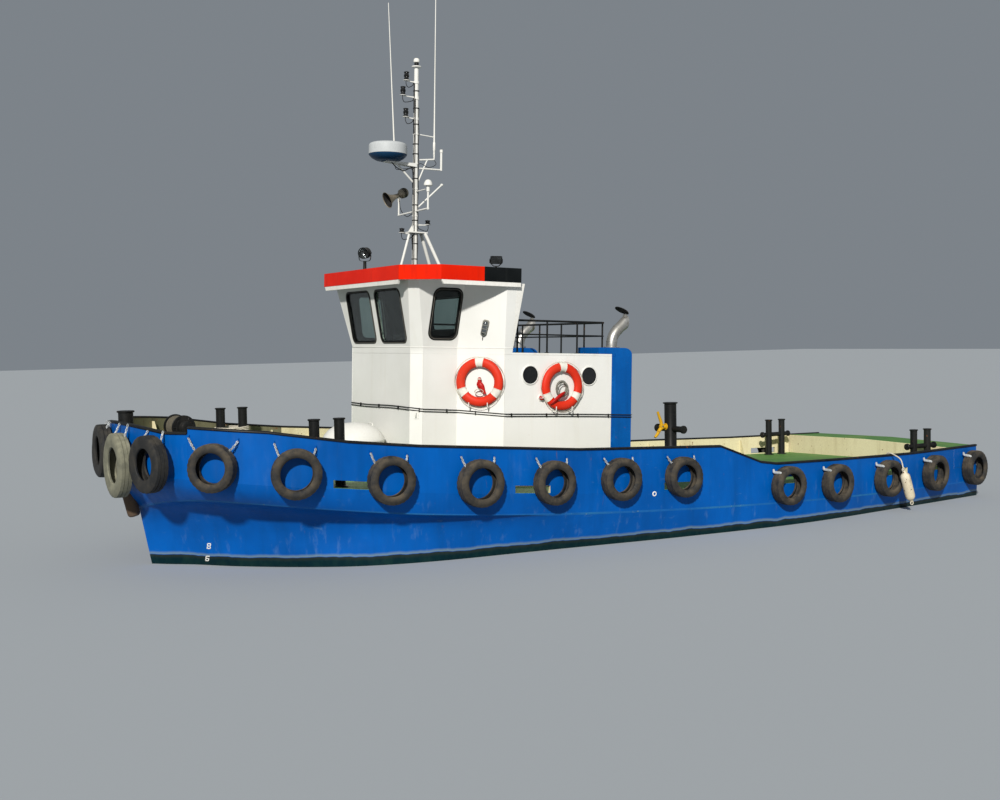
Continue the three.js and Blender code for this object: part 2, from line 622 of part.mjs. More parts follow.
// Wheelhouse sole, helm console and seat
const soleOutline = shrunk(mirrored(WHEELHOUSE_LOW), HOUSE.wall + GAP);
place('wheelhouse_sole', plate(soleOutline, SOLE.bottom, SOLE.top), GREY, leaning);
const consoleOutline = [[3580, SOLE.top + GAP], [3580, 2960], [3420, 2960], [3180, 2860], [3180, 2700],
  [3300, 2650], [3300, SOLE.top + GAP]];
place('helm_console', sideBlock(consoleOutline, -650, 650), GREY, leaning);
const seat = union([
  toSolid(bar([2750, 0, SOLE.top + GAP], [2750, 0, 2500], 60, 10)),
  toSolid(box(2520, 3000, -240, 240, 2460, 2560)),
  toSolid(box(2480, 2570, -220, 220, 2500, 3150)),
]);
place('helm_seat', seat, BLACK, leaning);

// After door of the deckhouse
const doorPlate = roundedRect(-DOOR.half + 6, DOOR.bottom + 6, DOOR.half - 6, DOOR.top - 6, 114);
const handle = toSolid(bar([255, -250, 1850], [185, -250, 1850], 14, 8))
  .add(toSolid(bar([188, -250, 1850], [188, -120, 1850], 12, 8)));
const doorHinges = DOOR_HINGE.heights.flatMap((z) => {
  const { x, y, radius, length } = DOOR_HINGE;
  return [
    toSolid(bar([x, y, z + GAP], [x, y, z + length - 5], radius, 8)),
    toSolid(box(x - 9, x + 1, y - 52, y, z + GAP, z + length - 5)),
    toSolid(box(x - 9, 264, y - 52, y - 24, z + GAP, z + length - 5)),
  ];
});
const pinBores = DOOR_HINGE.heights.map((z) => toSolid(bar([DOOR_HINGE.x, DOOR_HINGE.y, z - 10],
  [DOOR_HINGE.x, DOOR_HINGE.y, z + DOOR_HINGE.length + 10], DOOR_HINGE.pin + 0.7, 12)));
const doorPanel = toSolid(frontBlock(doorPlate, 262, 262 + DOOR.thickness));
const door = union([doorPanel, handle.translate([10, 0, 0]), ...doorHinges]).subtract(union(pinBores));
place('after_door', door, WHITE, leaning);

// Exhaust casings behind the deckhouse
const CASING = {
  front: 600, back: -70, y0: 1150, y1: 1750, top: 3040, foot: 650, roundX: 150, roundZ: 110,
};
for (const [name, side] of SIDES) {
  const outline = new THREE.Shape();
  outline.moveTo(CASING.back, CASING.foot);
  outline.lineTo(260 - GAP, CASING.foot);
  outline.lineTo(260 - GAP, DECKHOUSE_ROOF.top + GAP);
  outline.lineTo(CASING.front, DECKHOUSE_ROOF.top + GAP);
  outline.lineTo(CASING.front, CASING.top);
  outline.absellipse(CASING.back + CASING.roundX, CASING.top - CASING.roundZ, CASING.roundX,
    CASING.roundZ, Math.PI / 2, Math.PI);
  const [y0, y1] = side > 0 ? [CASING.y0, CASING.y1] : [-CASING.y1, -CASING.y0];
  place(`casing_${name}`, toSolid(sideBlock(outline, y0, y1)).subtract(leaningHull), BLUE, leaning);
}

// Exhaust pipes and their flaps
const EXHAUST = { x: 140, y: 1460, radius: 85 };
const MOUTH = -150;
const FLAP = {
  x: MOUTH - 10, z: 3612, radius: 122, thickness: 8, raised: 28, pin: 7, knuckle: 14, knuckleHalf: 30,
};
for (const [name, side] of SIDES) {
  const y = side * EXHAUST.y;
  const route = [[EXHAUST.x, y, CASING.top - 20], [EXHAUST.x, y, 3120], [118, y, 3220], [50, y, 3320],
    [-50, y, 3405], [MOUTH, y, 3484], [MOUTH - 100, y, 3563]];
  const pipe = toSolid(tube(route, EXHAUST.radius, 10, 10));
  const level = toSolid(box(MOUTH, 600, y - 300, y + 300, CASING.top + GAP, 3900));
  const [y0, y1] = [y - FLAP.knuckleHalf, y + FLAP.knuckleHalf];
  const knuckle = toSolid(bar([FLAP.x, y0, FLAP.z], [FLAP.x, y1, FLAP.z], FLAP.knuckle, 10));
  const arm = toSolid(box(FLAP.x + 6, FLAP.x + 60, y0, y1, FLAP.z - 72, FLAP.z - 6));
  const pinBore = toSolid(bar([FLAP.x, y - 50, FLAP.z], [FLAP.x, y + 50, FLAP.z], FLAP.pin + 0.7, 12));
  place(`exhaust_${name}`, pipe.intersect(level).add(knuckle).add(arm).subtract(pinBore), STEEL, leaning);
  const half = FLAP.thickness / 2;
  const disc = toSolid(bar([FLAP.radius - 6, 0, -half], [FLAP.radius - 6, 0, half], FLAP.radius, 14));
  const notch = toSolid(box(-50, 20, -FLAP.knuckleHalf - 4, FLAP.knuckleHalf + 4, -50, 50));
  const pin = toSolid(bar([0, -52, 0], [0, 52, 0], FLAP.pin, 8));
  const flap = disc.subtract(notch).add(pin);
  const mesh = place(`exhaust_flap_${name}`, flap, STEEL, leaning);
  mesh.position.set(FLAP.x, y, FLAP.z);
  mesh.rotation.y = -THREE.MathUtils.degToRad(FLAP.raised);
}

// Rail round the deckhouse roof
const ROOF_RAIL = { y: 1500, back: 310, front: 2190, top: 3450, middle: 3230, radius: 15, sides: 6 };
const railPieces = [];
for (const z of [ROOF_RAIL.top, ROOF_RAIL.middle]) {
  for (const [, side] of SIDES) {
    railPieces.push(bar([ROOF_RAIL.front, side * ROOF_RAIL.y, z], [ROOF_RAIL.back, side * ROOF_RAIL.y, z],
      ROOF_RAIL.radius, ROOF_RAIL.sides));
  }
  railPieces.push(bar([ROOF_RAIL.back, -ROOF_RAIL.y, z], [ROOF_RAIL.back, ROOF_RAIL.y, z],
      ROOF_RAIL.radius, ROOF_RAIL.sides));
}
const casingFoot = CASING.top + GAP;
const roofFoot = DECKHOUSE_ROOF.top + GAP;
const postPlaces = [];
for (const [, side] of SIDES) {
  for (const x of [860, 1440, 2000]) postPlaces.push([x, side * ROOF_RAIL.y, roofFoot]);
  postPlaces.push([ROOF_RAIL.back, side * ROOF_RAIL.y, casingFoot]);
}
for (const y of [900, 200, -500, -1080]) postPlaces.push([ROOF_RAIL.back, y, roofFoot]);
for (const [x, y, z] of postPlaces) {
  railPieces.push(bar([x, y, z], [x, y, ROOF_RAIL.top], ROOF_RAIL.radius + 2, ROOF_RAIL.sides));
}
place('roof_rail', union(railPieces.map(toSolid)), BLACK, leaning);

// Mast on three legs, with its arms, lamps, aerials and receiver
const MAST = { x: 3075, foot: HOUSE.roof + GAP, top: 7580, radius: 42 };
const RADAR = { x: 3575, z: 6000, radius: 310, height: 300 };
const LEGS = { collar: 4870, front: 270, back: 425, half: 190, radius: 28 };
const TRANSVERSE = { z: 5215, stbd: -600, port: 455 };
const AFT_WHIP = { x: 2735, base: 6180, top: 8750, stay: 6465 };
const FORE_WHIP = { x: 3290, y: -330, base: 6090, topX: 3400, topY: -400, top: 8650 };
const LAMPS = [[7330, 180, 140], [7085, 240, 140], [6740, 185, 140], [5020, -235, 120], [4862, 235, 120]];
const mastPieces = [
  bar([MAST.x, 0, MAST.foot], [MAST.x, 0, MAST.top], MAST.radius, 12),
  box(MAST.x - 190, MAST.x + 130, -95, 95, LEGS.collar, LEGS.collar + 20),
  bar([MAST.x + LEGS.front, 0, MAST.foot], [MAST.x + 95, 0, LEGS.collar + 5], 20),
  bar([MAST.x - LEGS.back, LEGS.half, MAST.foot], [MAST.x - 150, 70, LEGS.collar + 5], LEGS.radius),
  bar([MAST.x - LEGS.back, -LEGS.half, MAST.foot], [MAST.x - 150, -70, LEGS.collar + 5], LEGS.radius),
  bar([MAST.x, 0, MAST.top - 16], [MAST.x, 0, MAST.top], 80, 12),
  bar([MAST.x, 0, MAST.top - 5], [MAST.x, 0, MAST.top + 180], 50, 10),
  box(MAST.x, RADAR.x + 60, -60, 60, RADAR.z - 25, RADAR.z),
  bar([MAST.x, 0, 5660], [3430, 0, RADAR.z - 12], 16),
  bar([FORE_WHIP.x, -40, RADAR.z - 12], [FORE_WHIP.x, FORE_WHIP.y, RADAR.z + 10], 14),
  bar([FORE_WHIP.x, FORE_WHIP.y, RADAR.z], [FORE_WHIP.x, FORE_WHIP.y, FORE_WHIP.base], 14),
  bar([MAST.x, 0, 6485], [AFT_WHIP.x + 15, 0, AFT_WHIP.stay], 10),
  bar([MAST.x, 0, 6060], [AFT_WHIP.x, 0, 6100], 16),
  bar([AFT_WHIP.x, 0, 6090], [AFT_WHIP.x, 0, AFT_WHIP.base], 16),
  bar([MAST.x - 40, 0, 5690], [2860, 0, 6085], 12),
  bar([MAST.x, 0, 5930], [2600, 0, 5940], 14),
  bar([2600, 0, 5930], [2600, 0, 6270], 20),
  bar([MAST.x - 25, 0, 5270], [2585, 0, 5695], 14),
  bar([MAST.x, TRANSVERSE.stbd - 14, TRANSVERSE.z], [MAST.x, TRANSVERSE.port + 14, TRANSVERSE.z + 20], 14),
  bar([MAST.x, TRANSVERSE.stbd, TRANSVERSE.z], [MAST.x, TRANSVERSE.stbd, 5440], 14),
  bar([MAST.x, TRANSVERSE.port, TRANSVERSE.z], [MAST.x, TRANSVERSE.port, 5600], 28, 8),
  bar([MAST.x, TRANSVERSE.port, 5595], [MAST.x, TRANSVERSE.port, 5690], 70, 12, 45),
  bar([MAST.x, 0, 5545], [MAST.x, TRANSVERSE.port, 5550], 10),
];
for (const [z, reach, height] of LAMPS) {
  const [x0, x1] = [Math.min(MAST.x, MAST.x + reach), Math.max(MAST.x, MAST.x + reach)];
  mastPieces.push(box(x0, x1, -12, 12, z - 24, z));
  mastPieces.push(bar([MAST.x + reach, 0, z - 5], [MAST.x + reach, 0, z + height], 42, 8));
}
const whips = {
  whip_aft: [[AFT_WHIP.x, 0, AFT_WHIP.base + GAP], [AFT_WHIP.x, 0, AFT_WHIP.top]],
  whip_fore: [[FORE_WHIP.x, FORE_WHIP.y, FORE_WHIP.base + 1],
    [FORE_WHIP.topX, FORE_WHIP.topY, FORE_WHIP.top]],
};
for (const [name, [base, tip]] of Object.entries(whips)) {
  place(name, bar(base, tip, 14, 8, 8), WHITE, leaning);
}
const roofSpace = toSolid(box(2000, 4200, -1500, 1500, HOUSE.roof - 200, MAST.foot));
const whipSpace = toSolid(bar([AFT_WHIP.x, 0, AFT_WHIP.base], [AFT_WHIP.x, 0, AFT_WHIP.top], 14 + GAP, 8));
place('mast', union(mastPieces.map(toSolid)).subtract(roofSpace).subtract(whipSpace), WHITE, leaning);

// Radar scanner in its dome, on the mast's platform
const radarProfile = [[0, 0], [190, 0], [RADAR.radius - 6, 85], [RADAR.radius, 100], [RADAR.radius - 5, 245],
  [RADAR.radius - 35, 285], [0, RADAR.height]];
const radar = lathe(radarProfile, 20);
radar.rotateX(Math.PI / 2);
radar.translate(RADAR.x, 0, RADAR.z + GAP);
place('radar_dome', radar, WHITE, leaning);

// Horn on the starboard end of the mast's arm, pointing ahead and a little down
const HORN = {
  y: TRANSVERSE.stbd, back: [2925, 5624], neck: [3085, 5549], mouth: [3290, 5451], radius: 72, bell: 138,
};
const hornPieces = [
  bar([HORN.back[0], HORN.y, HORN.back[1]], [HORN.neck[0], HORN.y, HORN.neck[1]], HORN.radius, 12),
  bar([HORN.neck[0] - 20, HORN.y, HORN.neck[1] + 9], [HORN.mouth[0], HORN.y, HORN.mouth[1]], 34, 14, HORN.bell),
  box(MAST.x - 15, MAST.x + 15, HORN.y - 15, HORN.y + 15, 5440 + GAP, 5530),
];
place('horn', union(hornPieces.map(toSolid)), STEEL, leaning);

// Searchlight and floodlight on the roof
const SEARCH = { x: 3790, y: -380, z: 4536, radius: 90, back: 65, front: 75 };
const search = union([
  toSolid(bar([SEARCH.x, SEARCH.y, HOUSE.roof + GAP], [SEARCH.x, SEARCH.y, SEARCH.z - SEARCH.radius + 20], 28, 8)),
  toSolid(bar([SEARCH.x - SEARCH.back, SEARCH.y, SEARCH.z], [SEARCH.x + SEARCH.front, SEARCH.y, SEARCH.z],
    SEARCH.radius, 16)),
]);
place('searchlight', search, BLACK, leaning);
const FLOOD = { x: 2526, y: 1700, low: 4300, high: 4440, deep: 50, half: 90 };
const flood = union([
  toSolid(bar([FLOOD.x, FLOOD.y, HOUSE.roof + GAP], [FLOOD.x, FLOOD.y, FLOOD.low + 10], 20, 8)),
  toSolid(box(FLOOD.x - FLOOD.deep, FLOOD.x + FLOOD.deep, FLOOD.y - FLOOD.half, FLOOD.y + FLOOD.half,
    FLOOD.low, FLOOD.high)),
]);
place('floodlight', flood, BLACK, leaning);

// Lifebuoys on the house sides
const BUOY = { radius: 380, hole: 225, width: 100 };
for (const [name, side] of SIDES) {
  const [corner, shoulder] = [HOUSE_LOW[2], HOUSE_LOW[3]];
  const slant = Math.atan2(shoulder[1] - corner[1], corner[0] - shoulder[0]);
  const places = [['fore', (corner[0] + shoulder[0]) / 2, (corner[1] + shoulder[1]) / 2, slant, 2469],
    ['aft', 1339, 1750, 0, 2407]];
  for (const [where, x, y, angle, z] of places) {
    const geometry = ring(BUOY.radius, BUOY.hole, BUOY.width, 14, 6);
    const off = BUOY.width / 2 * 0.9 / Math.cos(Math.PI / 6) + GAP;
    geometry.rotateZ(-angle);
    geometry.translate(x + Math.sin(angle) * off, y + Math.cos(angle) * off, z);
    if (side < 0) {
      geometry.scale(1, -1, 1);
      const index = geometry.index.array;
      for (let i = 0; i < index.length; i += 3) [index[i], index[i + 1]] = [index[i + 1], index[i]];
    }
    place(`lifebuoy_${where}_${name}`, geometry, ORANGE, leaning);
  }
}

// Domed hatch on the foredeck, hinged at its fore edge
const HATCH = { x: 4150, y: 150, radius: 490, top: 1640, dome: 305 };
const hatchAxis = (z) => [HATCH.x, HATCH.y, z];
const trunk = toSolid(bar(hatchAxis(900), hatchAxis(HATCH.top), HATCH.radius, 24))
  .subtract(toSolid(bar(hatchAxis(800), hatchAxis(HATCH.top + 100), HATCH.radius - 50, 24)))
  .subtract(raisedHull);
const HATCH_HINGE = { x: HATCH.x + HATCH.radius + 35, z: HATCH.top + 20, pin: 10, ears: [60, 90] };
const hingeParts = [
  box(HATCH.x + HATCH.radius - 20, HATCH_HINGE.x + 15, HATCH.y - 150, HATCH.y + 150,
    HATCH.top - 80, HATCH.top - 8),
  box(HATCH_HINGE.x - 14, HATCH_HINGE.x + 14, HATCH.y - 50, HATCH.y + 50, HATCH.top - 20, HATCH_HINGE.z + 14),
  bar([HATCH_HINGE.x, HATCH.y - 110, HATCH_HINGE.z], [HATCH_HINGE.x, HATCH.y + 110, HATCH_HINGE.z],
    HATCH_HINGE.pin, 8),
];
place('hatch_trunk', union([trunk, ...hingeParts.map(toSolid)]), WHITE);
const lidProfile = [[0, 0], [HATCH.radius + 8, 0], [HATCH.radius + 8, 40], [HATCH.radius - 25, 110],
  [HATCH.radius - 90, 185], [HATCH.radius - 200, 255], [HATCH.radius - 340, 292], [0, HATCH.dome]];
const lidDome = lathe(lidProfile, 24);
lidDome.rotateX(Math.PI / 2);
lidDome.translate(HATCH.x, HATCH.y, HATCH.top + GAP);
const ears = [1, -1].map((side) => {
  const [y0, y1] = HATCH_HINGE.ears.map((y) => HATCH.y + y * side).sort((a, b) => a - b);
  return toSolid(box(HATCH_HINGE.x - 90, HATCH_HINGE.x + 16, y0, y1, HATCH.top + GAP, HATCH_HINGE.z + 16));
});
const earBore = toSolid(bar([HATCH_HINGE.x, HATCH.y - 200, HATCH_HINGE.z],
  [HATCH_HINGE.x, HATCH.y + 200, HATCH_HINGE.z], HATCH_HINGE.pin + 0.8, 12));
place('hatch_lid', union([toSolid(lidDome), ...ears]).subtract(earBore), WHITE);

// Bitts, in pairs of posts with a cross bar, and the bow bollard
const BITTS = [['fore', 5590, 5205, 2020, 2150, 75, 1150, 1600, 150, 35],
  ['aft', -6560, -6930, 1990, 1370, 65, 620, 1050, 200, 45]];
for (const [where, x0, x1, y, top, radius, foot, barZ, reach, barRadius] of BITTS) {
  for (const [name, side] of SIDES) {
    const pieces = [];
    for (const x of [x0, x1]) {
      pieces.push(toSolid(bar([x, side * y, foot - 100], [x, side * y, top], radius, 12)));
      pieces.push(toSolid(bar([x, side * y, top - 20], [x, side * y, top], radius + 15, 12)));
    }
    pieces.push(toSolid(bar([x0 + reach, side * y, barZ], [x1 - reach, side * y, barZ], barRadius, 10)));
    place(`bitts_${where}_${name}`, union(pieces).subtract(raisedHull), BLACK);
  }
}
const BOLLARD = { x: 7640, y: -200, top: 2270, radius: 108, cap: 128 };
const bollard = union([
  toSolid(bar([BOLLARD.x, BOLLARD.y, 1300], [BOLLARD.x, BOLLARD.y, BOLLARD.top], BOLLARD.radius, 14)),
  toSolid(bar([BOLLARD.x, BOLLARD.y, BOLLARD.top - 25], [BOLLARD.x, BOLLARD.y, BOLLARD.top], BOLLARD.cap, 14)),
]).subtract(raisedHull);
place('bow_bollard', bollard, BLACK);

// Anchor windlass on the foredeck
const WINDLASS = { x: 6900, z: 2005 };
const axleBore = bar([0, -400, 0], [0, 400, 0], 31.5, 12);
axleBore.rotateY(Math.PI / 12);
axleBore.translate(WINDLASS.x, 0, WINDLASS.z);
const cheekOutline = [[6650, 1300], [7150, 1300], [7000, 2125], [6800, 2125]];
const cheeks = [-260, 230].map((y) => toSolid(sideBlock(cheekOutline, y, y + 30)).subtract(toSolid(axleBore)));
const windlassBase = toSolid(box(6600, 7200, -300, 300, 1300, 1500))
  .subtract(toSolid(box(6650, 7150, -225, 225, 1440, 1700)));
place('windlass_frame', union([...cheeks, windlassBase]).subtract(raisedHull), BLACK);
const drum = union([
  toSolid(bar([WINDLASS.x, -420, WINDLASS.z], [WINDLASS.x, 420, WINDLASS.z], 30, 12)),
  toSolid(bar([WINDLASS.x, -200, WINDLASS.z], [WINDLASS.x, 200, WINDLASS.z], 110, 14)),
  toSolid(bar([WINDLASS.x, -220, WINDLASS.z], [WINDLASS.x, -195, WINDLASS.z], 180, 16)),
  toSolid(bar([WINDLASS.x, 195, WINDLASS.z], [WINDLASS.x, 220, WINDLASS.z], 180, 16)),
  toSolid(bar([WINDLASS.x, 290, WINDLASS.z], [WINDLASS.x, 420, WINDLASS.z], 70, 12, 100)),
  toSolid(bar([WINDLASS.x, -290, WINDLASS.z], [WINDLASS.x, -420, WINDLASS.z], 70, 12, 100)),
]);
place('windlass_drum', drum, BLACK);

// Tow post and its hook
const TOW = { x: -2330, top: 1990, radius: 112 };
const towPost = union([
  toSolid(bar([TOW.x, 0, 500], [TOW.x, 0, TOW.top], TOW.radius, 14)),
  toSolid(bar([TOW.x, 0, TOW.top - 15], [TOW.x, 0, TOW.top], TOW.radius + 25, 14)),
  toSolid(bar([TOW.x, -410, 1500], [TOW.x, 410, 1500], 60, 10)),
]).subtract(raisedHull);
place('tow_post', towPost, BLACK);
const jawRoot = TOW.x + TOW.radius - 20;
const hookOutline = [[jawRoot, 1510], [-2130, 1500], [-1985, 1340], [-1950, 1368], [-2090, 1545], [-2090, 1600],
  [-2015, 1815], [-2055, 1838], [-2150, 1640], [jawRoot, 1600]];
const postSpace = toSolid(bar([TOW.x, 0, 500], [TOW.x, 0, TOW.top], TOW.radius + GAP, 14));
place('tow_hook', toSolid(sideBlock(hookOutline, -28, 28)).subtract(postSpace), YELLOW);

// White cylinder fender on the port quarter, outside a tyre, its rope over the capping rail
const FENDER = { x: -5275, lean: 200, top: 750, bottom: 175, radius: 88, rope: 14 };
const railTop = interpolate(BULWARK_TOP, FENDER.x) + RAIL.thick;
const sideY = linePoint('deck', deckU(FENDER.x)).y;
const fenderY = sideY + TYRE.off + TYRE.width + FENDER.radius + 6;
const ropeBend = [FENDER.x, sideY + TYRE.width + 30, 945];
const fender = union([
  toSolid(bar([FENDER.x, fenderY, FENDER.top], [FENDER.x - FENDER.lean, fenderY, FENDER.bottom],
    FENDER.radius, 12)),
  toSolid(bar([FENDER.x, fenderY, FENDER.top - 20], ropeBend, FENDER.rope)),
  toSolid(bar(ropeBend, [FENDER.x, sideY + RAIL.out + 20, railTop + 12], FENDER.rope)),
  toSolid(box(FENDER.x - 12, FENDER.x + 12, sideY - 90, sideY + RAIL.out + 28, railTop + GAP, railTop + 22)),
]);
place('quarter_fender', fender, CREAM);

export default boat;
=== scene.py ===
"""The looks of the harbour tugboat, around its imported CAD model.

Shapes are given in millimetres, in the boat's frame: X forward, Y to port, Z up from the waterline.
What stands on the deckhouse is given in the leaning frame of the superstructure.
"""
import json
import random
from math import asin, atan2, copysign, cos, pi, radians, sin, sqrt, tan

import bmesh
import bpy
from mathutils import Matrix, Vector

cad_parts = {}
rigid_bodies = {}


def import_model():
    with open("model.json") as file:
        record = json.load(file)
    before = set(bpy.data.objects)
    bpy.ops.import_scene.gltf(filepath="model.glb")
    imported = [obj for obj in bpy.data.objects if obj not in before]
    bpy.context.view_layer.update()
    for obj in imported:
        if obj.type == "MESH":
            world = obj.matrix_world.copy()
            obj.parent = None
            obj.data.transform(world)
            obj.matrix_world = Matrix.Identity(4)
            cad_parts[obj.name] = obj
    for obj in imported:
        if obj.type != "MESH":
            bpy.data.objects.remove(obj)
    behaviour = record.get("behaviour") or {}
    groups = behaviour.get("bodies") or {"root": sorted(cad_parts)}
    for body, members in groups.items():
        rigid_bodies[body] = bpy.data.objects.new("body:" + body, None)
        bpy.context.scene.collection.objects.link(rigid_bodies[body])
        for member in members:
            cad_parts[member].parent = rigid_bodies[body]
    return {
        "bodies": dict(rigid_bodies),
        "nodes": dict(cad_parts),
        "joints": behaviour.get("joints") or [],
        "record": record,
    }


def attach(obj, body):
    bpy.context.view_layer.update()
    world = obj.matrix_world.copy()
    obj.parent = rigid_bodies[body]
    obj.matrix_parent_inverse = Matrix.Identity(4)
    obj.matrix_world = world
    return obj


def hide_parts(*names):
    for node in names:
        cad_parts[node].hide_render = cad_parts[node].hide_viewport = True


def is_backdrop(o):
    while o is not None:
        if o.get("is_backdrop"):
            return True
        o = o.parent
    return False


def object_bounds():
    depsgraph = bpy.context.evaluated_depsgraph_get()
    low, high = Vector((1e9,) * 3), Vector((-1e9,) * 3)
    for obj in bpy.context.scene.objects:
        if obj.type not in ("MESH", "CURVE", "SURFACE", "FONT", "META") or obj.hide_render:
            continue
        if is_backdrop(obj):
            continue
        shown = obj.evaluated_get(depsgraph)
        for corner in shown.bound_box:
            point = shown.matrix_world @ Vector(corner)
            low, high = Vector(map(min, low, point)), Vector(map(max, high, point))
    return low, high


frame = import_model()
cad_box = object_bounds()
nodes = frame["nodes"]

MM = 0.001
TRIM = radians(2)
LEAN = Matrix.Rotation(-TRIM, 4, "Y")
SIDES = (("port", 1), ("stbd", -1))

# Camera at the photograph's place
CAMERA_AT = (12.66154407, 19.07274281, 3.28)
CAMERA_AXES = (
    (-0.85927984, 0.51120868, -0.01743097),
    (-0.04029846, -0.03368632, 0.99861968),
    (0.50991587, 0.8587962, 0.0495469),
)
camera_data = bpy.data.cameras.new("camera")
camera_data.lens = 46.8
camera_data.sensor_width = 36
camera_data.clip_end = 500
camera = bpy.data.objects.new("camera", camera_data)
bpy.context.scene.collection.objects.link(camera)
camera.matrix_world = Matrix.Translation(CAMERA_AT) @ Matrix(CAMERA_AXES).transposed().to_4x4()
bpy.context.scene.camera = camera


def srgb(red, green, blue):
    """A colour as pictures give it, in the linear values that shaders take."""
    def linear(c):
        return c / 12.92 if c < 0.04045 else ((c + 0.055) / 1.055) ** 2.4
    return tuple(linear(c / 255) for c in (red, green, blue)) + (1.0,)


def vec(x, y, z):
    return Vector((x, y, z))


def angles(count, first=0.0, taken=None):
    """Equal steps of a whole turn, from a share of the first step on."""
    return [2 * pi * (i + first) / count for i in range(taken or count)]


def circle(centre, first, second, count, shift=0.0):
    """Points round a centre. It reaches first at the start and second after a quarter turn."""
    return [Vector(centre) + Vector(first) * cos(t) + Vector(second) * sin(t) for t in angles(count, shift)]


FORE, PORT, UP = vec(1, 0, 0), vec(0, 1, 0), vec(0, 0, 1)

# Light: a soft sun over the port bow, and a pale sky
SUN_DIRECTION = vec(0.546, 0.684, 0.484)
sun_data = bpy.data.lights.new("sun", "SUN")
sun_data.energy = 4.4
sun_data.angle = radians(3)
sun_data.color = (1.0, 0.965, 0.91)
sun = bpy.data.objects.new("sun", sun_data)
sun.rotation_euler = SUN_DIRECTION.to_track_quat("Z", "Y").to_euler()
bpy.context.scene.collection.objects.link(sun)
world = bpy.data.worlds.new("sky")
world.use_nodes = True
world.node_tree.nodes["Background"].inputs["Color"].default_value = srgb(206, 216, 226)
world.node_tree.nodes["Background"].inputs["Strength"].default_value = 0.33
bpy.context.scene.world = world
bpy.context.scene.view_settings.view_transform = "Standard"


class Look:
    """A procedural material, in the coordinates of the object that it is on."""

    def __init__(self, name, metal=0.0, **sockets):
        self.material = bpy.data.materials.new(name)
        self.material.use_nodes = True
        self.tree = self.material.node_tree
        self.shader = self.tree.nodes["Principled BSDF"]
        self.shader.inputs["Metallic"].default_value = metal
        for socket, value in sockets.items():
            self.shader.inputs[socket.replace("_", " ")].default_value = value
        self.place = self.node("TexCoord").outputs["Object"]
        self.normal = None

    def node(self, kind, inputs=None, **settings):
        node = self.tree.nodes.new("ShaderNode" + kind)
        for key, value in settings.items():
            setattr(node, key, value)
        for socket, value in (inputs or {}).items():
            self.put(node.inputs[socket], value)
        return node

    def put(self, socket, value):
        """Links a socket to another or sets it. Colours come as pictures give them."""
        if isinstance(value, bpy.types.NodeSocket):
            self.tree.links.new(value, socket)
        else:
            socket.default_value = srgb(*value) if socket.type == "RGBA" else value

    def axis(self, name):
        return self.node("SeparateXYZ", {0: self.place}).outputs[name]

    def facing(self, name):
        """The surface's own direction along an axis."""
        return self.node("SeparateXYZ", {0: self.node("NewGeometry").outputs["Normal"]}).outputs[name]

    def noise(self, scale, detail=3.0, stretch=(1, 1, 1), shift=0.0, rough=0.55):
        mapping = self.node("Mapping", {0: self.place, "Location": (shift, shift, shift), "Scale": stretch})
        noise = self.node("TexNoise", {"Vector": mapping.outputs[0], "Scale": scale, "Detail": detail,
                                       "Roughness": rough})
        return noise.outputs[0]

    def cells(self, scale, stretch=(1, 1, 1), feature="F1"):
        mapping = self.node("Mapping", {0: self.place, "Scale": stretch})
        cells = self.node("TexVoronoi", {"Vector": mapping.outputs[0], "Scale": scale}, feature=feature)
        return cells.outputs["Distance"]

    def band(self, value, low, high, out_low=0.0, out_high=1.0):
        """Spreads a value's range from low to high over another range, and holds it there beyond."""
        spread = self.node("MapRange", {0: value, 1: low, 2: high, 3: out_low, 4: out_high})
        return spread.outputs[0]

    def blend(self, share, first, second):
        """Patches of two colours."""
        return self.mix(self.band(share, 0.35, 0.65), first, second)

    def soil(self, colour, share, low, high, most, dirt):
        """Lays dirt over a colour where share is high."""
        return self.mix(self.band(share, low, high, 0.0, most), colour, dirt)

    def slope(self, forward, up):
        """A place along a direction that is partly forward and partly up."""
        return self.calc("ADD", self.calc("MULTIPLY", self.axis("X"), forward),
                         self.calc("MULTIPLY", self.axis("Z"), up))

    def calc(self, operation, a, b):
        return self.node("Math", {0: a, 1: b}, operation=operation).outputs[0]

    def mix(self, share, first, second, way="MIX"):
        return self.node("MixRGB", {"Fac": share, "Color1": first, "Color2": second},
                         blend_type=way).outputs[0]

    def bump(self, height, distance, strength=1.0):
        inputs = {"Strength": strength, "Distance": distance, "Height": height}
        if self.normal:
            inputs["Normal"] = self.normal
        self.normal = self.node("Bump", inputs).outputs[0]

    def finish(self, colour, rough):
        self.put(self.shader.inputs["Base Color"], colour)
        self.put(self.shader.inputs["Roughness"], rough)
        if self.normal:
            self.put(self.shader.inputs["Normal"], self.normal)
        return self.material


RUST = (112, 66, 38)
# In the leaning frame, in metres: where the casings end on the house, and where the red fascia starts
CASING_FRONT, RED_FROM, BLUR = 0.338, 2.860, 0.002


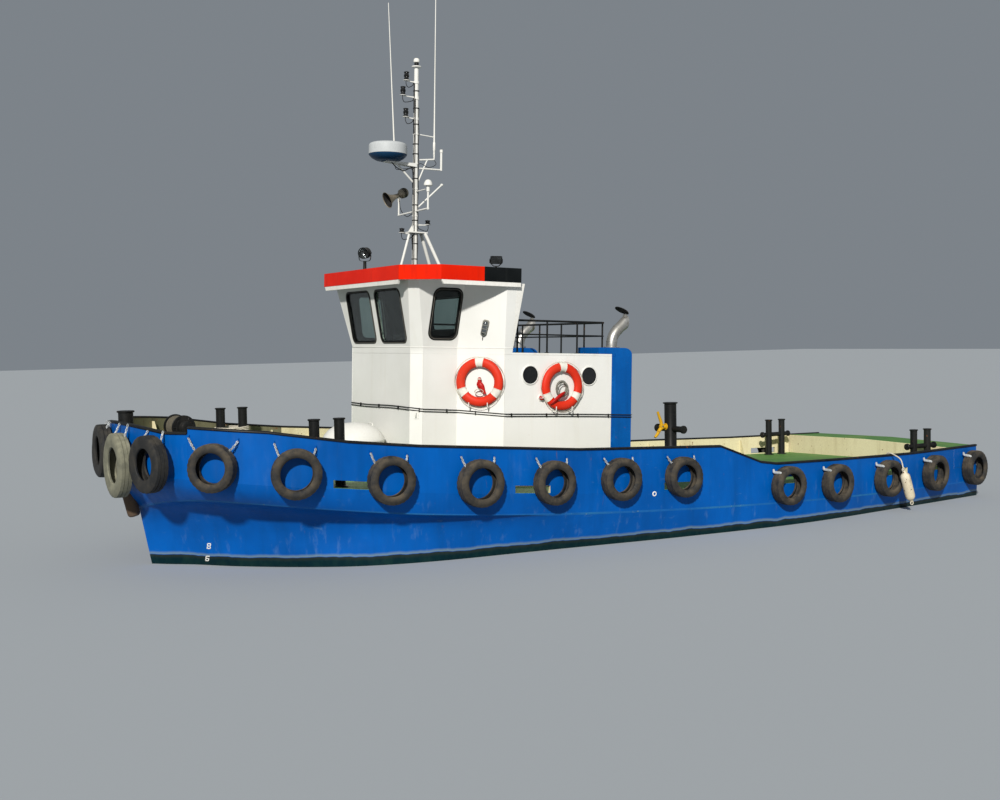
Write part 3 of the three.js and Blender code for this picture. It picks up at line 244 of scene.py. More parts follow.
def paint(name, base, faded, dirt, rough=0.4, streaks=0.35, chips=0.0, chip=RUST, grain=0.0008, metal=0.0,
          patch=0.9, run=0.12):
    """Painted plate: faded patches, dirt that ran down, chipped spots and a light brushed grain."""
    look = Look(name, metal, Specular_IOR_Level=0.15)
    patches = look.noise(patch, 4)
    colour = look.mix(look.band(patches, 0.36, 0.66), base, faded)
    runs = look.noise(7, 5, (1, 1, run), 3.1)
    colour = look.mix(look.calc("MULTIPLY", look.band(runs, 0.5, 0.78), streaks), colour, dirt)
    fine = look.noise(34, 4, shift=5.7)
    colour = look.soil(colour, fine, 0.3, 0.75, 0.22, dirt)
    if chips:
        spots = look.noise(13, 6, (1, 1, 1), 9.3, 0.7)
        marks = look.band(spots, 0.70 - 0.12 * chips, 0.72 - 0.12 * chips)
        colour = look.mix(marks, colour, chip)
        look.bump(look.calc("SUBTRACT", 1.0, marks), 0.0006)
    look.bump(look.noise(2.2, 2, shift=1.7), 0.006, 0.5)
    look.bump(look.noise(120, 3), grain, 0.6)
    return look.finish(colour, look.band(patches, 0.3, 0.7, rough - 0.06, rough + 0.1))


def hull_look(name):
    """Blue enamel, with scuffs, rust, salt and the boot-top below."""
    look = Look(name, Specular_IOR_Level=0.12)
    x, z = look.axis("X"), look.axis("Z")
    patches = look.noise(0.8, 5)
    colour = look.mix(look.band(patches, 0.35, 0.68), (0, 74, 148), (0, 88, 172))
    runs = look.noise(5, 5, (1, 1, 0.1), 3.1)
    colour = look.soil(colour, runs, 0.5, 0.8, 0.4, (1, 58, 112))
    salt = look.noise(8, 6, (1, 1, 0.28), 8.2, 0.65)
    low = look.band(z, 0.1, 1.3, 1.0, 0.25)
    colour = look.mix(look.calc("MULTIPLY", look.band(salt, 0.58, 0.84, 0.0, 0.3), low), colour,
                      (128, 158, 178))
    scuffs = look.noise(5.5, 7, (0.6, 0.6, 2.2), 12.6, 0.72)
    reach = look.band(look.calc("ABSOLUTE", look.calc("SUBTRACT", z, 0.75), 0.0), 0.1, 0.75, 1.0, 0.0)
    marks = look.calc("MULTIPLY", look.band(scuffs, 0.63, 0.69), reach)
    colour = look.mix(look.calc("MULTIPLY", marks, 0.22), colour, (96, 140, 166))
    rust = look.calc("MULTIPLY", look.band(look.noise(9, 6, (1, 1, 0.22), 17.3, 0.7), 0.66, 0.74),
                     look.band(z, 0.2, 1.1))
    colour = look.mix(look.calc("MULTIPLY", rust, 0.8), colour, (104, 74, 52))
    wave = look.noise(2.4, 3, (1, 1, 0.0), 4.4)
    edge = look.calc("ADD", look.band(x, -8.0, 7.3, 0.075, 0.15), look.band(wave, 0.3, 0.7, -0.015, 0.015))
    rise = look.calc("SUBTRACT", z, edge)
    scum = look.calc("MULTIPLY", look.band(rise, 0.0, 0.012), look.band(rise, 0.02, 0.055, 1.0, 0.0))
    colour = look.mix(look.calc("MULTIPLY", scum, 0.6), colour, (120, 136, 122))
    weed = look.noise(11, 5, (1, 1, 0.5), 6.1)
    boot = look.mix(look.band(weed, 0.4, 0.7), (2, 32, 38), (14, 42, 42))
    boot = look.soil(boot, rise, -0.06, 0.0, 0.5, (52, 48, 38))
    colour = look.mix(look.band(rise, -0.004, 0.004), boot, colour)
    look.bump(look.noise(1.1, 2, (1, 1, 1.5), 1.7), 0.014, 0.6)
    look.bump(salt, 0.0012, 0.6)
    look.bump(look.noise(95, 3), 0.0005, 0.6)
    return look.finish(colour, look.band(salt, 0.35, 0.75, 0.3, 0.55))


def deck_look():
    """Green deck paint, worn to a yellowish ground where feet and ropes go."""
    look = Look("deck paint")
    patches = look.noise(0.7, 5)
    colour = look.blend(patches, (66, 118, 52), (84, 132, 58))
    wear = look.noise(1.6, 7, (1, 1, 1), 7.1, 0.68)
    colour = look.soil(colour, wear, 0.52, 0.68, 0.7, (136, 146, 84))
    dirt = look.noise(4.5, 6, (1, 1, 1), 2.3, 0.7)
    colour = look.soil(colour, dirt, 0.55, 0.75, 0.6, (66, 66, 52))
    rust = look.noise(8, 6, (1, 1, 1), 14.2, 0.72)
    colour = look.soil(colour, rust, 0.67, 0.72, 0.8, (108, 72, 44))
    look.bump(look.noise(260, 2), 0.0012, 0.7)
    look.bump(wear, 0.001, 0.5)
    return look.finish(colour, look.band(wear, 0.4, 0.7, 0.55, 0.8))


def rubber_look(name, base, dust, worn, share):
    """Old tyre rubber with dust on its upper faces and scraped places."""
    look = Look(name)
    patches = look.noise(6, 6, (1, 1, 1), 0.0, 0.65)
    up = look.band(look.facing("Z"), -0.3, 0.9, 0.25, 1.0)
    laid = look.calc("MULTIPLY", look.band(patches, 0.42 - 0.1 * share, 0.62, 0.0, 0.9), up)
    colour = look.mix(laid, base, dust)
    scraped = look.noise(15, 7, (1, 1, 1), 7.7, 0.72)
    colour = look.soil(colour, scraped, 0.58, 0.7, 0.65, worn)
    look.bump(look.noise(60, 5, (1, 1, 1), 2.2, 0.7), 0.003, 0.7)
    look.bump(look.noise(240, 3), 0.0008, 0.7)
    return look.finish(colour, look.band(patches, 0.3, 0.7, 0.72, 0.95))


def metal_look(name, bright, dull, stain, metal=0.85, rough=0.4, share=0.5):
    """Galvanised or bare metal with dull patches and stains."""
    look = Look(name, metal)
    spangle = look.cells(38)
    patches = look.noise(5, 5)
    colour = look.blend(patches, bright, dull)
    colour = look.soil(colour, spangle, 0.1, 0.7, 0.35, dull)
    stains = look.noise(9, 6, (1, 1, 0.4), 4.2, 0.7)
    colour = look.soil(colour, stains, 0.72 - 0.22 * share, 0.8 - 0.15 * share, 0.85, stain)
    look.bump(look.noise(140, 4), 0.0006, 0.6)
    return look.finish(colour, look.band(patches, 0.3, 0.7, rough - 0.08, rough + 0.2))


def roof_look():
    """Black roof, with a red fascia round the front that ends part way along the sides."""
    look = Look("roof paint", Specular_IOR_Level=0.12)
    patches = look.noise(1.3, 5)
    red = look.blend(patches, (222, 34, 3), (206, 26, 2))
    runs = look.noise(9, 5, (1, 1, 0.15), 3.1)
    red = look.soil(red, runs, 0.55, 0.8, 0.4, (150, 30, 14))
    black = look.blend(patches, (12, 15, 16), (24, 27, 28))
    black = look.soil(black, runs, 0.55, 0.8, 0.4, (44, 46, 44))
    soffit = look.blend(patches, (188, 187, 182), (172, 171, 164))
    fore = look.band(look.slope(cos(TRIM), sin(TRIM)), RED_FROM, RED_FROM + BLUR)
    colour = look.mix(fore, black, red)
    colour = look.mix(look.band(look.facing("Z"), 0.6, 0.7), colour, black)
    under = look.calc("MULTIPLY", look.band(look.facing("Z"), -0.7, -0.6, 1.0, 0.0),
                      look.band(look.slope(-sin(TRIM), cos(TRIM)), 4.02, 4.03))
    colour = look.mix(under, colour, soffit)
    look.bump(look.noise(1.6, 2, shift=1.7), 0.008, 0.5)
    look.bump(look.noise(120, 3), 0.0006, 0.6)
    return look.finish(colour, look.band(patches, 0.3, 0.7, 0.26, 0.42))


def house_look():
    """White plate with runs from its edges, lined inside, and blue where the casings stand against it."""
    look = Look("house paint", Specular_IOR_Level=0.15)
    x, y, z = look.axis("X"), look.axis("Y"), look.axis("Z")
    leaned = look.slope(cos(TRIM), sin(TRIM))
    patches = look.noise(0.9, 4)
    colour = look.mix(look.band(patches, 0.36, 0.66), (224, 224, 220), (216, 216, 211))
    runs = look.noise(6, 5, (1, 1, 0.06), 3.1)
    colour = look.soil(colour, runs, 0.56, 0.8, 0.16, (190, 180, 158))
    spots = look.noise(13, 6, (1, 1, 0.8), 9.3, 0.7)
    colour = look.soil(colour, spots, 0.70, 0.74, 0.5, (150, 118, 88))
    low = look.band(z, 0.95, 1.5, 0.5, 0.0)
    patches = look.band(look.noise(3, 5), 0.4, 0.7)
    colour = look.mix(look.calc("MULTIPLY", low, patches), colour, (186, 178, 156))
    side = look.band(look.calc("ABSOLUTE", y, 0.0), 1.735, 1.74)
    blue = look.blend(patches, (0, 78, 152), (2, 88, 166))
    casing = look.calc("MULTIPLY", side, look.band(leaned, CASING_FRONT, CASING_FRONT + BLUR, 1.0, 0.0))
    colour = look.mix(casing, colour, blue)
    inward = look.calc("ADD", look.calc("MULTIPLY", look.facing("X"), look.calc("SUBTRACT", x, 2.75)),
                       look.calc("MULTIPLY", look.facing("Y"), y))
    high = look.calc("MULTIPLY", look.band(inward, -0.3, -0.2, 1.0, 0.0), look.band(x, 2.0, 2.02))
    lining = look.blend(patches, (30, 34, 33), (22, 25, 24))
    colour = look.mix(high, colour, lining)
    look.bump(look.noise(2.2, 2, shift=1.7), 0.007, 0.5)
    look.bump(look.noise(120, 3), 0.0007, 0.6)
    return look.finish(colour, look.band(patches, 0.3, 0.7, 0.34, 0.5))


def roof_edge_look():
    """Green on top and white round the edge."""
    look = Look("deckhouse roof paint", Specular_IOR_Level=0.15)
    patches = look.noise(1.4, 5)
    top = look.blend(patches, (58, 122, 92), (78, 138, 98))
    dirt = look.noise(5, 6, (1, 1, 1), 2.3, 0.7)
    top = look.soil(top, dirt, 0.55, 0.75, 0.5, (80, 84, 68))
    edge = look.mix(look.band(dirt, 0.5, 0.8), (222, 222, 218), (200, 195, 182))
    leaned = look.slope(cos(TRIM), sin(TRIM))
    edge = look.mix(look.band(leaned, CASING_FRONT, CASING_FRONT + BLUR, 1.0, 0.0), edge, (0, 80, 156))
    colour = look.mix(look.band(look.facing("Z"), 0.8, 0.9), edge, top)
    look.bump(look.noise(260, 2), 0.001, 0.6)
    return look.finish(colour, look.band(patches, 0.3, 0.7, 0.5, 0.75))


def glass_look():
    look = Look("window glass", Transmission_Weight=1.0, IOR=1.3, Specular_IOR_Level=0.35)
    smears = look.noise(6, 5, (1, 1, 0.4), 3.3)
    colour = look.mix(look.band(smears, 0.4, 0.75), (206, 220, 214), (190, 206, 200))
    return look.finish(colour, look.band(smears, 0.5, 0.9, 0.0, 0.05))


def rope_look(name, base, dark):
    """Laid rope: strands that wind round it, and a little dirt."""
    look = Look(name)
    wound = look.noise(260, 2, shift=2.0)
    dirt = look.noise(14, 5, shift=6.0)
    colour = look.blend(wound, dark, base)
    colour = look.soil(colour, dirt, 0.5, 0.8, 0.6, (110, 104, 88))
    look.bump(wound, 0.003, 0.8)
    return look.finish(colour, 0.9)


HULL = hull_look("hull enamel")
BOOT = paint("antifouling", (8, 42, 44), (22, 50, 44), (40, 44, 34), 0.75, 0.6, 0.4)
# Along the knuckle: chipped wear, and paler paint that is a painted highlight on the edge
KNUCKLE_WEAR_AND_HIGHLIGHT = paint("worn knuckle with painted highlight", (8, 84, 160), (36, 104, 158), (14, 70, 128), 0.5, 0.6, 0.4, (120, 142, 132))
DECK = deck_look()
CREAM = paint("cream paint", (220, 212, 176), (206, 196, 158), (150, 130, 92), 0.55, 0.4, 0.45)
OLIVE = paint("bow lining", (118, 116, 90), (98, 98, 72), (60, 54, 42), 0.6, 0.6, 0.7)
WHITE = paint("white paint", (224, 224, 220), (216, 216, 211), (196, 190, 174), 0.38, 0.16, 0.05,
              (150, 118, 88), run=0.08)
TRIM_WHITE = paint("white trim", (232, 231, 226), (222, 221, 214), (160, 154, 138), 0.4, 0.2)
BLACK = paint("black paint", (15, 17, 19), (25, 27, 28), (54, 51, 45), 0.42, 0.4, 0.35)
GASKET = paint("gasket rubber", (8, 9, 10), (13, 14, 15), (30, 30, 29), 0.6, 0.2)
CABLE = paint("cable jacket", (18, 19, 20), (30, 31, 32), (60, 58, 52), 0.5, 0.2)
CASING = paint("casing blue", (0, 78, 152), (2, 88, 166), (6, 56, 104), 0.4, 0.4, 0.2)
ROOF = roof_look()
HOUSE = house_look()
ROOF_EDGE = roof_edge_look()
GLASS = glass_look()
TYRE = rubber_look("tyre rubber", (24, 24, 24), (92, 82, 66), (52, 50, 46), 0.5)
TYRE_DARK = rubber_look("dark tyre rubber", (20, 21, 22), (64, 60, 52), (46, 46, 44), 0.1)
TYRE_PALE = rubber_look("pale tyre rubber", (92, 92, 78), (150, 148, 126), (120, 118, 98), 1.0)
FENDER_RUST = rubber_look("rusty fender", (70, 54, 40), (112, 92, 66), (96, 66, 42), 0.8)
FENDER_WHITE = paint("fender skin", (216, 208, 186), (196, 182, 150), (112, 84, 52), 0.6, 0.8, 0.8,
                     (96, 68, 42), run=0.5)
GALVANISED = metal_look("galvanised steel", (176, 178, 178), (138, 141, 142), (104, 82, 58))
CHAIN = metal_look("chain steel", (204, 208, 208), (150, 154, 154), (112, 92, 70), 0.3, 0.5, 0.5)
EXHAUST = metal_look("exhaust steel", (206, 205, 200), (160, 158, 152), (94, 78, 62), 0.8, 0.34, 0.7)
# Dark sooty steel; in the cooling outlet the same dark disc is painted shade
SOOT_AND_SHADE = metal_look("sooty steel and painted shade", (34, 32, 31), (22, 21, 21), (70, 52, 40), 0.3, 0.8)
ORANGE = paint("lifebuoy orange", (212, 44, 22), (198, 54, 32), (130, 60, 40), 0.5, 0.25)
RED = paint("red plastic", (178, 24, 20), (160, 30, 26), (96, 30, 24), 0.4, 0.2)
BANDS = paint("white bands", (226, 224, 214), (210, 208, 198), (140, 132, 116), 0.6, 0.3)
ROPE = rope_look("white rope", (226, 220, 204), (150, 142, 124))
ROPE_DARK = rope_look("oily rope", (104, 98, 82), (54, 51, 44))
RADAR_WHITE = paint("radar cover", (188, 192, 193), (176, 180, 182), (142, 142, 138), 0.45, 0.15)
ROPE_GREY = rope_look("grey rope", (150, 148, 138), (86, 84, 76))
YELLOW = paint("yellow paint", (214, 168, 26), (196, 148, 28), (120, 84, 40), 0.5, 0.4, 0.6)
BRONZE = metal_look("bronze", (178, 132, 66), (150, 108, 54), (74, 86, 62), 0.9, 0.35)
HORN = metal_look("horn metal", (160, 150, 132), (132, 122, 104), (84, 74, 60), 0.6, 0.42)
LINING = paint("cabin lining", (58, 61, 62), (46, 48, 50), (36, 35, 32), 0.7, 0.3)
VINYL = paint("seat vinyl", (26, 26, 28), (36, 36, 38), (56, 54, 50), 0.5, 0.1)
LAMP_GLASS = paint("lamp glass", (24, 26, 30), (40, 42, 44), (60, 58, 52), 0.15, 0.1)
LENS = metal_look("lamp lens", (150, 155, 156), (96, 100, 102), (70, 66, 60), 0.9, 0.16)
GREY_PLASTIC = paint("grey plastic", (150, 148, 138), (132, 130, 120), (88, 84, 74), 0.55, 0.35)
RADAR_DARK = paint("radar base", (16, 54, 88), (22, 62, 96), (44, 58, 70), 0.4, 0.15)


# Mesh helpers
class Build:
    """Points in millimetres and faces, each with the number of its material."""

    def __init__(self):
        self.points = []
        self.faces = []
        self.marks = []

    def face(self, corners, mark=0):
        self.faces.append(tuple(corners))
        self.marks.append(mark)

    def grid(self, rows, mark=0, wrap=False, close=False):
        """A skin over rows of points. wrap joins a row's ends, close joins the last row to the first."""
        start = len(self.points)
        width = len(rows[0])
        for row in rows:
            self.points.extend(Vector(p) for p in row)
        for i in range(len(rows) - (0 if close else 1)):
            below = start + (i + 1) % len(rows) * width
            for j in range(width - (0 if wrap else 1)):
                k = (j + 1) % width
                corners = (start + i * width + j, start + i * width + k, below + k, below + j)
                self.face(corners, mark(i, j) if callable(mark) else mark)
        return start

    def fan(self, row, mark=0):
        start = len(self.points)
        self.points.extend(Vector(p) for p in row)
        self.face(range(start, start + len(row)), mark)

    def tube(self, path, radius, sides=8, mark=0, closed=False):
        path = [Vector(p) for p in path]
        count = len(path)
        radii = radius if isinstance(radius, (list, tuple)) else [radius] * count
        rows = []
        across = None
        for i, point in enumerate(path):
            before = path[i - 1] if closed or i else point
            after = path[(i + 1) % count] if closed or i + 1 < count else point
            along = (after - before).normalized()
            across = (across or along.orthogonal()) - along * (across or along.orthogonal()).dot(along)
            across.normalize()
            other = along.cross(across)
            turns = angles(sides)
            rows.append([point + (across * cos(t) + other * sin(t)) * radii[i] for t in turns])
        self.grid(rows, mark, wrap=True, close=closed)
        if not closed:
            self.fan(rows[0], mark)
            self.fan(rows[-1], mark)

    def lathe(self, profile, base, axis=(0, 0, 1), segments=24, mark=0, loop=False, shape=None, first=None):
        """A profile of radius and height, turned about an axis through base."""
        axis = Vector(axis).normalized()
        first = Vector(first) if first else axis.orthogonal().normalized()
        second = axis.cross(first)
        rows = []
        for i in range(segments):
            turn = 2 * pi * i / segments
            out = first * cos(turn) + second * sin(turn)
            ring = shape(i, profile) if shape else profile
            rows.append([Vector(base) + out * r + axis * h for r, h in ring])
        self.grid(rows, mark, wrap=loop, close=True)

    def skin(self, rows, mark=0):
        """A closed skin over rows of points, with its two ends."""
        self.grid(rows, mark, wrap=True)
        self.fan(rows[0], mark)
        self.fan(rows[-1], mark)

    def plate(self, axis, start, end, outline, mark=0):
        """An outline across an axis, from start to end along it."""
        def place(u, v, w):
            at = start + (end - start) * w
            return {"x": (at, u, v), "y": (u, at, v), "z": (u, v, at)}[axis]
        self.prism(outline, place, mark)

    def slab(self, root, along, across, through, outline, mark=0):
        """An outline over two directions from a root, as thick as the vector through."""
        self.prism(outline, lambda u, v, w: root + along * u + across * v + through * w, mark)

    def bolts(self, centre, first, second, axis, count, profile, mark=0, shift=0.5):
        """Six-sided heads round a centre."""
        for spot in circle(centre, first, second, count, shift):
            self.lathe(profile, spot, axis, 6, mark)

    def block(self, low, high, mark=0):
        x0, y0, z0 = low
        x1, y1, z1 = high
        self.plate("z", z0, z1, [(x0, y0), (x1, y0), (x1, y1), (x0, y1)], mark)

    def prism(self, outline, place, mark=0, end_mark=None):
        """An outline of pairs carried from place(u, v, 0) to place(u, v, 1)."""
        rows = [[place(u, v, w) for u, v in outline] for w in (0, 1)]
        self.grid(rows, mark, wrap=True)
        for row in rows:
            self.fan(row, mark if end_mark is None else end_mark)

    def bar(self, a, b, radius, sides=12, mark=0):
        self.tube([a, b], radius, sides, mark)

    def make(self, name, looks, slot, body="boat", replaces=(), leaning=False, smooth=32, bevel=0.0, steps=2):
        """Makes the piece, in metres, and lets it ride on its body."""
        turn = LEAN if leaning else Matrix.Identity(4)
        mesh = bpy.data.meshes.new(name)
        mesh.from_pydata([turn @ (p * MM) for p in self.points], [], self.faces)
        for polygon, mark in zip(mesh.polygons, self.marks):
            polygon.material_index = mark
        form = bmesh.new()
        form.from_mesh(mesh)
        bmesh.ops.remove_doubles(form, verts=form.verts, dist=2e-5)
        bmesh.ops.dissolve_degenerate(form, edges=form.edges, dist=1e-6)
        bmesh.ops.recalc_face_normals(form, faces=form.faces)
        form.to_mesh(mesh)
        form.free()
        piece = bpy.data.objects.new(name, mesh)
        bpy.context.scene.collection.objects.link(piece)
        for look in looks:
            mesh.materials.append(look)
        soften(piece, smooth, bevel, steps)
        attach(piece, body)
        if replaces:
            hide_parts(*replaces)
        return piece


def soften(piece, smooth, bevel, steps=2):
    """Shades smooth up to an angle, and rounds the edges beyond it."""
    piece.data.shade_smooth()
    piece.data.set_sharp_from_angle(angle=radians(smooth))
    if bevel:
        rounding = piece.modifiers.new("Bevel", "BEVEL")
        rounding.width = bevel * MM
        rounding.segments = steps
        rounding.limit_method = "ANGLE"
        rounding.angle_limit = radians(smooth)
        rounding.harden_normals = False
        flatten(piece, True)


def flatten(piece, keep_sharp):
    """Lets the large faces set the shading, so that only the rounded edges turn."""
    weighted = piece.modifiers.new("WeightedNormal", "WEIGHTED_NORMAL")
    weighted.keep_sharp = keep_sharp
    weighted.weight = 60


def dress(name, look, bevel=4.0, smooth=30):
    """Gives a CAD piece its material and rounded edges."""
    piece = nodes[name]
    for place in piece.material_slots:
        place.material = look
    with bpy.context.temp_override(object=piece, active_object=piece, selected_objects=[piece],
                                   selected_editable_objects=[piece]):
        bpy.ops.mesh.customdata_custom_splitnormals_clear()
    weld = piece.modifiers.new("Weld", "WELD")
    weld.merge_threshold = 1e-5
    if bevel:
        soften(piece, 180, bevel)
        piece.modifiers["Bevel"].angle_limit = radians(smooth)
        piece.modifiers["WeightedNormal"].keep_sharp = False
    else:
        piece.data.shade_flat()
    return piece


def interpolate(table, x):
    rows = sorted(table)
    if x <= rows[0][0]:
        return rows[0][1]
    for (x0, v0), (x1, v1) in zip(rows, rows[1:]):
        if x <= x1:
            return v0 + (v1 - v0) * (x - x0) / (x1 - x0)
    return rows[-1][1]


def curve_at(knots, u):
    """A point of a smooth line through knots, for u from 0 to 1."""
    knots = [Vector(k) for k in knots]
    knots = [2 * knots[0] - knots[1], *knots, 2 * knots[-1] - knots[-2]]
    place = max(0.0, min(u, 0.9999999)) * (len(knots) - 3)
    i = int(place)
    t = place - i
    a, b, c, d = knots[i:i + 4]
    bend, twist = 2 * a - 5 * b + 4 * c - d, 3 * b - a - 3 * c + d
    return 0.5 * (2 * b + (c - a) * t + bend * t * t + twist * t ** 3)


def smooth_path(knots, steps):
    return [curve_at(knots, i / steps) for i in range(steps + 1)]


def rounded(x0, y0, x1, y1, radius, steps=6):
    """A rectangle with rounded corners, as pairs."""
    pairs = []
    corners = [(x1 - radius, y0 + radius, -90), (x1 - radius, y1 - radius, 0),
               (x0 + radius, y1 - radius, 90), (x0 + radius, y0 + radius, 180)]
    for cx, cy, start in corners:
        for i in range(steps + 1):
            turn = radians(start + 90 * i / steps)
            pairs.append((cx + radius * cos(turn), cy + radius * sin(turn)))
    return pairs


# Stage
floor_mesh = bpy.data.meshes.new("floor")
REACH = 150
floor_mesh.from_pydata([(-REACH, -REACH, 0), (REACH, -REACH, 0), (REACH, REACH, 0), (-REACH, REACH, 0)], [],
                       [(0, 1, 2, 3)])
floor = bpy.data.objects.new("floor", floor_mesh)
bpy.context.scene.collection.objects.link(floor)
floor_look = Look("floor")
floor_mesh.materials.append(floor_look.finish((165, 171, 176), 0.9))
floor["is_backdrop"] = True

# Hull lines, as in the CAD source: x, half-breadth and height from the stem to the transom
KEEL_HALF = 60
LINES = {
    "deck": [(7850, 0, 1420), (7775, 600, 1415), (7570, 1150, 1400), (7240, 1650, 1370), (6600, 2150, 1310),
             (5500, 2500, 1190), (4000, 2680, 1040), (2000, 2770, 880), (-500, 2800, 760), (-3000, 2790, 680),
             (-5500, 2560, 620), (-8150, 2130, 600)],
    "knuckle": [(7535, 0, 835), (7465, 480, 930), (7310, 980, 1010), (7000, 1520, 1050), (6400, 2010, 1000),
                (5400, 2400, 880), (4000, 2610, 720), (2000, 2720, 570), (-500, 2790, 450),
                (-3000, 2785, 380), (-5500, 2550, 330), (-8180, 2125, 300)],
    "waterline": [(7375, 0, 0), (7160, 215, 0), (6850, 490, 0), (6400, 1000, 0), (5700, 1600, 0),
                  (4900, 2080, 0), (3800, 2360, 0), (2000, 2500, 0), (-500, 2720, 0), (-3000, 2770, 0),
                  (-5500, 2460, 0), (-8240, 2060, 0)],
    "chine": [(6950, 0, -550), (6750, 150, -560), (6450, 420, -580), (6000, 820, -600), (5300, 1300, -630),
              (4500, 1720, -670), (3600, 2020, -710), (2000, 2230, -750), (-500, 2400, -770),
              (-3000, 2400, -760), (-5500, 2150, -640), (-8240, 1800, -420)],
    "keel": [(6400, 0, -1150), (6200, KEEL_HALF, -1200), (5900, KEEL_HALF, -1230), (5500, KEEL_HALF, -1250),
             (4900, KEEL_HALF, -1260), (4200, KEEL_HALF, -1270), (3500, KEEL_HALF, -1280),
             (2000, KEEL_HALF, -1290), (-500, KEEL_HALF, -1290), (-3000, KEEL_HALF, -1200),
             (-5500, KEEL_HALF, -950), (-8240, KEEL_HALF, -620)],
}
CAMBER = 40
BULWARK = 60
STEP_X = 7280
STERN_DECK_X = -7350
STERN_DECK_Z = 990
BULWARK_TOP = [(-8200, 990), (-5900, 990), (-2350, 1060), (-2000, 1110), (-1150, 1420), (1600, 1530),
               (2650, 1610), (4260, 1730), (5300, 1840), (6370, 2010), (STEP_X, 2090)]
BOW_TOP = [(STEP_X, 2010), (7500, 2010), (7850, 2120)]
SIDE_TYRES = [(6990, 1550), (6020, 1440), (4730, 1280), (3360, 1150), (2120, 1070), (910, 1040),
              (-300, 990), (-2520, 690), (-3700, 640), (-5100, 610), (-6540, 590), (-7900, 580)]
BOW_TYRES = [(1150, 1590, 400, 210), (420, 1530, 460, 200), (-430, 1680, 395, 200), (-1200, 1590, 390, 280)]
FREEING_PORTS = (5220, 2430, -300, -2700, -5500, -6700)
FREEING_LENGTH, FREEING_HEIGHT, FREEING_ABOVE = 600, 110, 20


def line_point(name, u):
    point = curve_at(LINES[name], u)
    point.y = max(point.y, 0)
    return point


def solve(low, high, before):
    """The place between low and high up to which before holds, by halving."""
    for _ in range(40):
        middle = (low + high) / 2
        if before(middle):
            low = middle
        else:
            high = middle
    return low


def deck_u(x):
    return solve(0.0, 1.0, lambda u: line_point("deck", u).x > x)


def bow_u(y):
    return solve(0.0, 0.5, lambda u: line_point("deck", u).y < y)


def outward(u, side=1):
    """Direction out of the deck edge in plan."""
    a = line_point("deck", max(u - 0.004, 0))
    b = line_point("deck", min(u + 0.004, 1))
    out = vec(-(b.y - a.y), b.x - a.x, 0).normalized()
    out = -out if b.x < a.x else out
    return vec(out.x, out.y * side, 0)


def edge_point(u, out, z, side):
    point = line_point("deck", u)
    normal = vec(1, 0, 0) if u < 1e-6 else outward(u)
    return vec(point.x + normal.x * out, side * max(point.y + normal.y * out, 0), z)


def side_top(u):
    return interpolate(BULWARK_TOP, line_point("deck", u).x)


def bow_top(u):
    return interpolate(BOW_TOP, line_point("deck", u).x)


# Hull, with the deck on it
HULL_STATIONS = 130
SPANS = (("deck", "knuckle", (0, 0.25, 0.5, 0.75, 0.94)),
         ("knuckle", "waterline", (0, 0.03, 0.08, 0.15, 0.25, 0.35, 0.5, 0.65, 0.8)),
         ("waterline", "chine", (0, 0.25, 0.5, 0.75)), ("chine", "keel", (0, 0.33, 0.67)))
HALF_COUNT = sum(len(span[2]) for span in SPANS) + 1
DECK_STEPS = 12
# Forward of FLARE_FROM the side swells above the knuckle, in full after FLARE_GROWS more
FLARE, FLARE_FROM, FLARE_GROWS = 0.86, 2500, 2500
# Depth of the hollow under the knuckle by x, the powers that shape it, and their highest value
HOLLOW = [(2000, 0), (4000, 190), (5400, 330), (6400, 430), (7000, 430), (7600, 340)]
HOLLOW_RISE, HOLLOW_FALL, HOLLOW_PEAK = 0.45, 1.35, 0.363


def hull_ring(u):
    """A ring round the hull and over its deck. The bow swells above the knuckle and is hollow below it."""
    half = []
    for upper, lower, shares in SPANS:
        a, b = line_point(upper, u), line_point(lower, u)
        points = [a.lerp(b, share) for share in shares]
        if upper == "deck":
            fullness = FLARE * min(max((a.x - FLARE_FROM) / FLARE_GROWS, 0), 1)
            for share, point in zip(shares, points):
                swell = fullness * share * (1 - share)
                point.x += (a.x - b.x) * swell
                point.y += (a.y - b.y) * swell
        if upper == "knuckle":
            depth = min(interpolate(HOLLOW, a.x), 0.45 * a.y)
            for share, point in zip(shares, points):
                shape = share ** HOLLOW_RISE * (1 - share) ** HOLLOW_FALL / HOLLOW_PEAK
                point.y = max(point.y - depth * shape, 0)
        half += points
    half.append(line_point("keel", u))
    other = [vec(p.x, -p.y, p.z) for p in reversed(half)]
    edge = half[0]
    deck = []
    for i in range(1, DECK_STEPS):
        share = 2 * i / DECK_STEPS - 1
        deck.append(vec(edge.x, edge.y * share, edge.z + CAMBER * (1 - abs(share))))
    return half + other + deck


def hull_mark(i, j):
    # Faces either side of the knuckle line take the worn knuckle paint, with its painted highlight
    knuckle_line_faces = (4, 5, 2 * HALF_COUNT - 6, 2 * HALF_COUNT - 7)
    if j >= 2 * HALF_COUNT - 1:
        return 1
    return 2 if j in knuckle_line_faces else 0


hull = Build()
rings = [hull_ring(i / HULL_STATIONS) for i in range(HULL_STATIONS + 1)]
hull.grid(rings, hull_mark, wrap=True)
transom = rings[-1]
for i in range(HALF_COUNT - 1):
    hull.fan([transom[i], transom[i + 1], transom[2 * HALF_COUNT - 2 - i], transom[2 * HALF_COUNT - 1 - i]])
hull.fan([transom[2 * HALF_COUNT - 1], *transom[2 * HALF_COUNT:], transom[0]])
# The propeller's middle and the shaft's slope, and each shaft's tube and each rudder's trunk
SHAFT_X, SHAFT_Y, SHAFT_Z, SHAFT_SLOPE = -6700, 1050, -1150, radians(4)


def shaft_point(x, side):
    return (x, side * SHAFT_Y, SHAFT_Z + (x - SHAFT_X) * tan(SHAFT_SLOPE))


